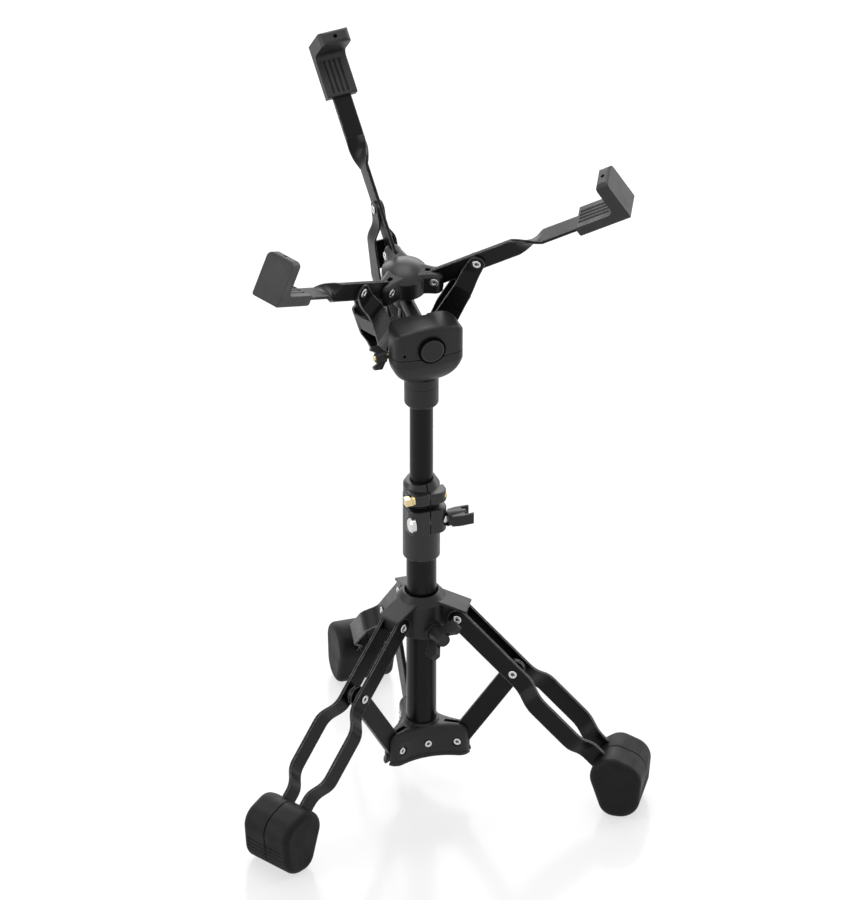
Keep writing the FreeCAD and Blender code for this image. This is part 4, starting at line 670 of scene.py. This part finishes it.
@dataclass(frozen=True)
class Rivet:
    """A semi-tubular rivet, its end rolled into a ring round its bore: sizes in millimetres."""

    head_radius: float
    head_height: float
    shank_radius: float
    segments: int = 28
    roll_segments: int = 10
    roll_share: float = 0.30

    def tree(self) -> bpy.types.NodeTree:
        """Build the Geometry Nodes tree that sets half a rivet on each point.

        A point stands where a head meets what it holds; its outward attribute is the direction of
        the head, and its reach attribute is the length of the shank behind it.

        Returns:
            Tree with the rivet's sizes, in metres, and its materials as named inputs.
        """
        tree, size = maker_tree("rivet_halves", {
            "Points": Socket.GEOMETRY, "Head Radius": Socket.NUMBER, "Head Height": Socket.NUMBER,
            "Shank Radius": Socket.NUMBER, "Roll Radius": Socket.NUMBER, "Segments": Socket.COUNT,
            "Roll Segments": Socket.COUNT, "Finish": Socket.MATERIAL, "Bore": Socket.MATERIAL})
        shank = add_node(tree, "GeometryNodeMeshCylinder", inputs={
            "Vertices": size["Segments"], "Radius": size["Shank Radius"], "Depth": 1.0})
        turn = add_node(tree, "FunctionNodeAlignRotationToVector", {"axis": "Z"}, {
            "Vector": attribute(tree, "outward", "FLOAT_VECTOR")})
        depth = add_node(tree, "ShaderNodeCombineXYZ", inputs={
            "X": 1.0, "Y": 1.0, "Z": attribute(tree, "reach", "FLOAT")})
        heads = add_node(tree, "GeometryNodeInstanceOnPoints", inputs={
            "Points": size["Points"], "Instance": self.head(tree, size),
            "Rotation": turn.outputs["Rotation"]})
        shanks = add_node(tree, "GeometryNodeInstanceOnPoints", inputs={
            "Points": size["Points"], "Instance": raised(tree, shank.outputs["Mesh"], -0.5),
            "Rotation": turn.outputs["Rotation"], "Scale": depth.outputs["Vector"]})
        both = joined(tree, (heads.outputs["Instances"], shanks.outputs["Instances"]))
        whole = add_node(tree, "GeometryNodeRealizeInstances", inputs={"Geometry": both})
        smooth = add_node(tree, "GeometryNodeSetShadeSmooth", inputs={
            "Geometry": whole.outputs["Geometry"]})
        dressed = add_node(tree, "GeometryNodeSetMaterial", inputs={
            "Geometry": smooth.outputs["Geometry"], "Material": size["Finish"]})
        shaded = add_node(tree, "GeometryNodeSetMaterial", inputs={
            "Geometry": dressed.outputs["Geometry"],
            "Selection": attribute(tree, "bore", "BOOLEAN"), "Material": size["Bore"]})
        add_node(tree, "NodeGroupOutput", inputs={"Geometry": shaded.outputs["Geometry"]})
        return tree

    @staticmethod
    def head(tree: bpy.types.NodeTree, size: Any) -> bpy.types.NodeSocket:
        """Shape one rolled head: a ring round a floor, whose faces get the bore attribute.

        Args:
            tree: Tree that gets the nodes.
            size: The tree's inputs.

        Returns:
            Socket with the head, standing on its seat.
        """
        half = maths(tree, "MULTIPLY", size["Head Height"], 0.5)
        radius = maths(tree, "SUBTRACT", size["Head Radius"], size["Roll Radius"])
        floor = add_node(tree, "GeometryNodeMeshCylinder", inputs={
            "Vertices": size["Segments"], "Radius": radius, "Depth": half})
        line = add_node(tree, "GeometryNodeCurvePrimitiveCircle", inputs={
            "Resolution": size["Segments"], "Radius": radius})
        section = add_node(tree, "GeometryNodeCurvePrimitiveCircle", inputs={
            "Resolution": size["Roll Segments"], "Radius": size["Roll Radius"]})
        roll = add_node(tree, "GeometryNodeCurveToMesh", inputs={
            "Curve": line.outputs["Curve"], "Profile Curve": section.outputs["Curve"]})
        plug = raised(tree, floor.outputs["Mesh"], maths(tree, "MULTIPLY", half, 0.5))
        bore = add_node(
            tree, "GeometryNodeStoreNamedAttribute", {"data_type": "BOOLEAN", "domain": "FACE"},
            {"Geometry": plug, "Name": "bore", "Value": True})
        flattened = maths(tree, "DIVIDE", half, size["Roll Radius"])
        ring = raised(tree, roll.outputs["Mesh"], half, flattened)
        return joined(tree, (bore.outputs["Geometry"], ring))

    def build(self, name: str, halves: list[Half], material: bpy.types.Material,
              bore: bpy.types.Material) -> bpy.types.Object:
        """Make a set of rivets as a plain mesh in its place.

        Args:
            name: Name of the piece.
            halves: Halves of the rivets.
            material: Material that covers them.
            bore: Material on the shallow floor inside their rolled ends: dark, a painted shade of
                the deep bore.

        Returns:
            The rivets, at the origin, with their places in the mesh.
        """
        points = bpy.data.meshes.new(name + "_maker")
        points.from_pydata([half.seat for half in halves], [], [])
        points.attributes.new("outward", "FLOAT_VECTOR", "POINT")
        points.attributes.new("reach", "FLOAT", "POINT")
        for index, half in enumerate(halves):
            points.attributes["outward"].data[index].vector = half.outward
            points.attributes["reach"].data[index].value = half.reach
        return settle(name, points, self.tree(), {
            "Head Radius": self.head_radius * MM, "Head Height": self.head_height * MM,
            "Shank Radius": self.shank_radius * MM,
            "Roll Radius": self.head_radius * self.roll_share * MM,
            "Segments": self.segments, "Roll Segments": self.roll_segments,
            "Finish": material, "Bore": bore})


@dataclass
class Rivets:
    """Rivets of the tripod and the basket: one at each pivot, and one that fixes the collar.

    The seats are found from the plain rivets that they replace. Their heads are cad_head
    millimetres high on the tripod and basket_cad_head on the basket, and pin_room is the reach
    from a pin's middle that holds all of that pin and no other. Angles are in degrees.
    """

    nodes: dict[str, bpy.types.Object]
    palette: Palette
    joints: dict[str, dict[str, Any]]
    tripod_turn: float = -2.5
    spokes: tuple[float, ...] = (90.0, 210.0, 330.0)
    cad_head: float = 1.9
    basket_cad_head: float = 1.6
    pin_room: float = 25.0
    leg: Rivet = Rivet(head_radius=4.3, head_height=1.5, shank_radius=3.0)
    collar: Rivet = Rivet(head_radius=3.7, head_height=1.4, shank_radius=2.5)
    basket: Rivet = Rivet(head_radius=4.3, head_height=1.4, shank_radius=2.5)

    def cross_halves(self, name: str, spoke: float) -> list[Half]:
        """Find both halves of the rivet that a node has across one spoke of the tripod.

        Args:
            name: Node of the rivet or rivets.
            spoke: Direction of the spoke, in degrees.

        Returns:
            The two halves.
        """
        turn = math.radians(spoke + self.tripod_turn)
        along = Vector((math.cos(turn), math.sin(turn), 0))
        across = Vector((-math.sin(turn), math.cos(turn), 0))
        spots = [vertex.co for vertex in self.nodes[name].data.vertices]
        near = [spot for spot in spots if spot.dot(along) > abs(spot.dot(across))]
        centre = Vector((0, 0, 0))
        for axis in (along, across, UP):
            reaches = [spot.dot(axis) for spot in near]
            centre += axis * (0.5 * (min(reaches) + max(reaches)))
        reach = max((spot - centre).dot(across) for spot in near) - self.cad_head * MM
        return [Half(centre + side * reach, side, reach) for side in (across, -across)]

    def pin_halves(self, name: str, centre: Vector, axis: Vector) -> list[Half]:
        """Find both halves of a rivet of the basket from a point on its axis.

        Args:
            name: Node of the rivet or rivets.
            centre: Point inside the rivet, on its axis.
            axis: Direction of the axis.

        Returns:
            The two halves.
        """
        offsets = [vertex.co - centre for vertex in self.nodes[name].data.vertices]
        near = [offset for offset in offsets if offset.length < self.pin_room * MM]
        halves = []
        for side in (axis, -axis):
            reach = max(offset.dot(side) for offset in near) - self.basket_cad_head * MM
            halves.append(Half(centre + side * reach, side, reach))
        return halves

    def front_half(self, name: str) -> Half:
        """Find the one head of a rivet that goes straight in from the front.

        Args:
            name: Node of the rivet.

        Returns:
            The half.
        """
        low, high = (Vector(corner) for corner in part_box(name))
        middle = (low + high) / 2
        seat = Vector((middle.x, low.y + self.cad_head * MM, middle.z))
        return Half(seat, FRONT, high.y - seat.y)

    def build(self) -> None:
        """Set all the rivets."""
        self.build_tripod()
        self.build_basket()

    def build_tripod(self) -> None:
        """Set the rivets of the collar, the hub and the legs."""
        pins = [half for spoke in self.spokes for half in self.cross_halves("brace_pins", spoke)]
        self.fit("collar_rivet_set", self.collar, pins + [self.front_half("collar_rivet")], "base",
                 "brace_pins", "collar_rivet")
        ears = [half for spoke in self.spokes for half in self.cross_halves("hub_rivets", spoke)]
        self.fit("hub_rivet_set", self.leg, ears, "hub", "hub_rivets")
        for limb, spoke in zip(LIMBS, self.spokes):
            node = f"leg_{limb}_rivet"
            self.fit(f"leg_{limb}_rivet_set", self.leg, self.cross_halves(node, spoke),
                     f"leg_{limb}", node)

    def build_basket(self) -> None:
        """Set the rivets of the links, the spider and the slider."""
        spider = []
        slider = []
        for limb in LIMBS:
            arm = self.joints[f"arm_{limb}_swing"]
            link = self.joints[f"link_{limb}_swing"]
            axis = Vector(arm["axis"]).normalized()
            spider += self.pin_halves("spider_rivets", Vector(arm["pos_m"]), axis)
            slider += self.pin_halves("slider_pins", Vector(link["pos_m"]), axis)
            node = f"link_{limb}_rivet"
            low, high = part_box(node)
            middle = (Vector(low) + Vector(high)) / 2
            self.fit(f"link_{limb}_rivet_set", self.basket, self.pin_halves(node, middle, axis),
                     f"link_{limb}", node)
        self.fit("spider_rivet_set", self.basket, spider, "basket", "spider_rivets")
        self.fit("slider_pin_set", self.basket, slider, "slider", "slider_pins")

    def fit(self, name: str, rivet: Rivet, halves: list[Half], body: str, *replaced: str) -> None:
        """Make one set of rivets in place of nodes and hang it on its body.

        Args:
            name: Name of the piece.
            rivet: Rivet of the set.
            halves: Halves of the rivets.
            body: Body that carries them.
            replaced: Nodes that they stand for.
        """
        materials = self.palette.materials
        # The bores' floors take the blackened material: a painted shade of the deep bore.
        piece = rivet.build(name, halves, materials[BRIGHT_ZINC], materials[BLACK_OXIDE])
        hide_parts(*replaced)
        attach(piece, body)
        LOG.info("set %s, %d heads", name, len(halves))


@dataclass
class DiscShadeRing:
    """Thin near-black ring round the tilter's front disc, a painted shade of the groove there:
    sizes in millimetres.
    """

    palette: Palette
    width: float = 2.0
    flat_share: float = 0.7
    proud: float = 0.45
    sunk: float = 0.4
    disc_proud: float = 1.6
    segments: int = 72

    def build(self) -> None:
        """Turn the ring about the disc's axis and hang it on the mast."""
        low, high = (Vector(corner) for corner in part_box("tilter_disc"))
        middle = (low + high) / 2
        seat = Vector((middle.x, low.y + self.disc_proud * MM, middle.z))
        inner = (high.x - low.x) / 2 / MM
        section = ((inner - self.sunk, -self.sunk), (inner - self.sunk, self.proud),
                   (inner + self.width * self.flat_share, self.proud),
                   (inner + self.width, -self.sunk))
        shape = bmesh.new()
        rows = []
        for step in range(self.segments):
            turn = math.tau * step / self.segments
            spots = [Vector((out * math.cos(turn), -forward, out * math.sin(turn)))
                     for out, forward in section]
            rows.append([shape.verts.new(seat + MM * spot) for spot in spots])
        for row, after in zip(rows, rows[1:] + rows[:1]):
            for side in range(len(section)):
                other = (side + 1) % len(section)
                shape.faces.new((row[side], row[other], after[other], after[side]))
        bmesh.ops.recalc_face_normals(shape, faces=shape.faces)
        mesh = bpy.data.meshes.new("tilter_disc_shade_ring")
        shape.to_mesh(mesh)
        shape.free()
        # The ring's near-black finish is a painted shade of the groove round the disc.
        mesh.materials.append(self.palette.materials[SHADE_RING_BLACK])
        piece = new_object(mesh.name, mesh)
        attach(piece, "mast")
        LOG.info("set %s", piece.name)


@dataclass(frozen=True)
class Softbox:
    """A large soft lamp, aimed at a point."""

    name: str
    place: tuple[float, float, float]
    width: float
    height: float
    radiance: float
    aim: tuple[float, float, float] = (0.0, 0.0, 0.35)

    def build(self) -> None:
        """Hang the lamp; its power follows from its radiance and area."""
        lamp = bpy.data.lights.new(self.name, "AREA")
        lamp.shape = "RECTANGLE"
        lamp.size = self.width
        lamp.size_y = self.height
        lamp.energy = self.radiance * math.pi * self.width * self.height
        stand = new_object(self.name, lamp)
        stand.location = self.place
        sight = Vector(self.aim) - Vector(self.place)
        stand.rotation_euler = sight.to_track_quat("-Z", "Y").to_euler()


LAMPS = (
    Softbox("lamp_top", place=(0.1, 0.5, 3.6), width=2.4, height=2.4, radiance=2.7),
    Softbox("lamp_back", place=(1.0, 3.6, 2.3), width=5.0, height=2.6, radiance=3.3),
    Softbox("lamp_left", place=(-3.0, 0.3, 1.3), width=1.4, height=2.4, radiance=3.0),
    Softbox("lamp_right", place=(3.0, 0.5, 1.3), width=1.4, height=2.4, radiance=3.0),
)


@dataclass
class Studio:
    """Pale floor, soft lamps, and the camera at the photograph's angle.

    Angles are in degrees, lengths in metres, and the sensor in millimetres.
    """

    azimuth: float = -20.0
    elevation: float = 33.0
    distance: float = 8.0
    sight_end: float = 60.0
    pixels_per_metre: float = 1042.0
    image_size: tuple[int, int] = (856, 900)
    origin_pixel: tuple[float, float] = (421.4, 778.3)
    sensor: float = 36.0
    floor_half: float = 9.0
    floor_tone: str = "#fbfbfb"
    floor_roughness: float = 0.16
    floor_glow: float = 0.66
    ambient: float = 0.30

    def build(self) -> None:
        """Set up the stage, the light and the camera."""
        scene = bpy.context.scene
        scene.view_settings.view_transform = "Standard"
        self.build_floor()
        self.build_world(scene)
        for lamp in LAMPS:
            lamp.build()
        self.build_camera(scene)

    @staticmethod
    def seen(tree: bpy.types.NodeTree, hidden: float, shown: float) -> bpy.types.NodeSocket:
        """Choose a number by what looks at a surface: the eye, gloss and glass, or plain light.

        Args:
            tree: Tree of the surface or the world.
            hidden: Number for plain light.
            shown: Number for the eye, and for gloss and glass.

        Returns:
            Socket with the number.
        """
        ray = add_node(tree, "ShaderNodeLightPath").outputs
        direct = maths(tree, "ADD", ray["Is Camera Ray"], ray["Is Glossy Ray"])
        looked = add_node(tree, "ShaderNodeMath", {"operation": "ADD", "use_clamp": True}, {
            0: direct, 1: ray["Is Transmission Ray"]})
        return ranged(tree, looked.outputs["Value"], (0.0, 1.0), (hidden, shown))

    def build_floor(self) -> None:
        """Lay the floor: white board under clear gloss, which still takes the stand's shadow."""
        half = self.floor_half
        mesh = bpy.data.meshes.new("studio_floor")
        edge = [(-half, -half, 0), (half, -half, 0), (half, half, 0), (-half, half, 0)]
        mesh.from_pydata(edge, [], [(0, 1, 2, 3)])
        floor = new_object(mesh.name, mesh)
        material = bare_material("gloss_white_board")
        tree = material.node_tree
        board = add_node(tree, "ShaderNodeBsdfPrincipled", inputs={
            "Base Color": linear(self.floor_tone), "Roughness": self.floor_roughness})
        glow = add_node(tree, "ShaderNodeEmission", inputs={
            "Color": linear(WHITE), "Strength": 1.0})
        mixed = add_node(tree, "ShaderNodeMixShader", inputs={
            0: self.seen(tree, 0.0, self.floor_glow), 1: board.outputs["BSDF"],
            2: glow.outputs["Emission"]})
        add_node(tree, "ShaderNodeOutputMaterial", inputs={"Surface": mixed.outputs["Shader"]})
        mesh.materials.append(material)

    def build_world(self, scene: bpy.types.Scene) -> None:
        """Fill the room with even pale light, white where it is looked at.

        Args:
            scene: Scene that gets the world.
        """
        world = bpy.data.worlds.new("studio_room")
        scene.world = world
        world.use_nodes = True
        tree = world.node_tree
        backdrop = tree.nodes["Background"]
        backdrop.inputs["Color"].default_value = linear(WHITE)
        tree.links.new(self.seen(tree, self.ambient, 1.0), backdrop.inputs["Strength"])

    def build_camera(self, scene: bpy.types.Scene) -> None:
        """Stand the camera where the photograph was taken.

        Args:
            scene: Scene that gets the camera.
        """
        turn = math.radians(self.azimuth)
        rise = math.radians(self.elevation)
        level = Vector((math.sin(turn), -math.cos(turn), 0))
        outwards = level * math.cos(rise) + UP * math.sin(rise)
        right = Vector((math.cos(turn), math.sin(turn), 0))
        up = outwards.cross(right)
        place = outwards * self.distance
        across = (self.image_size[0] / 2 - self.origin_pixel[0]) / self.pixels_per_metre
        along = (self.origin_pixel[1] - self.image_size[1] / 2) / self.pixels_per_metre
        target = right * across + up * along
        data = bpy.data.cameras.new("photo_camera")
        data.sensor_width = self.sensor
        data.sensor_height = self.sensor
        data.lens = self.pixels_per_metre * self.distance / max(self.image_size) * self.sensor
        data.clip_end = self.sight_end
        camera = new_object(data.name, data)
        axis = (place - target).normalized()
        side = up.cross(axis).normalized()
        frame_axes = Matrix((side, axis.cross(side), axis)).transposed()
        camera.matrix_world = Matrix.Translation(place) @ frame_axes.to_4x4()
        scene.camera = camera


def main() -> None:
    """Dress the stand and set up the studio."""
    logging.basicConfig(level=logging.INFO)
    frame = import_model()
    palette = Palette()
    palette.build()
    nodes = frame["nodes"]
    for assembly in (Tripod, Column, Tilter, Basket):
        assembly(nodes, palette).dress()
    joints = {joint["name"]: joint for joint in frame["record"]["behaviour"]["joints"]}
    BasketRod(nodes, palette, joints).build()
    Rivets(nodes, palette, joints).build()
    DiscShadeRing(palette).build()
    Studio().build()


if __name__ == "__main__":
    main()
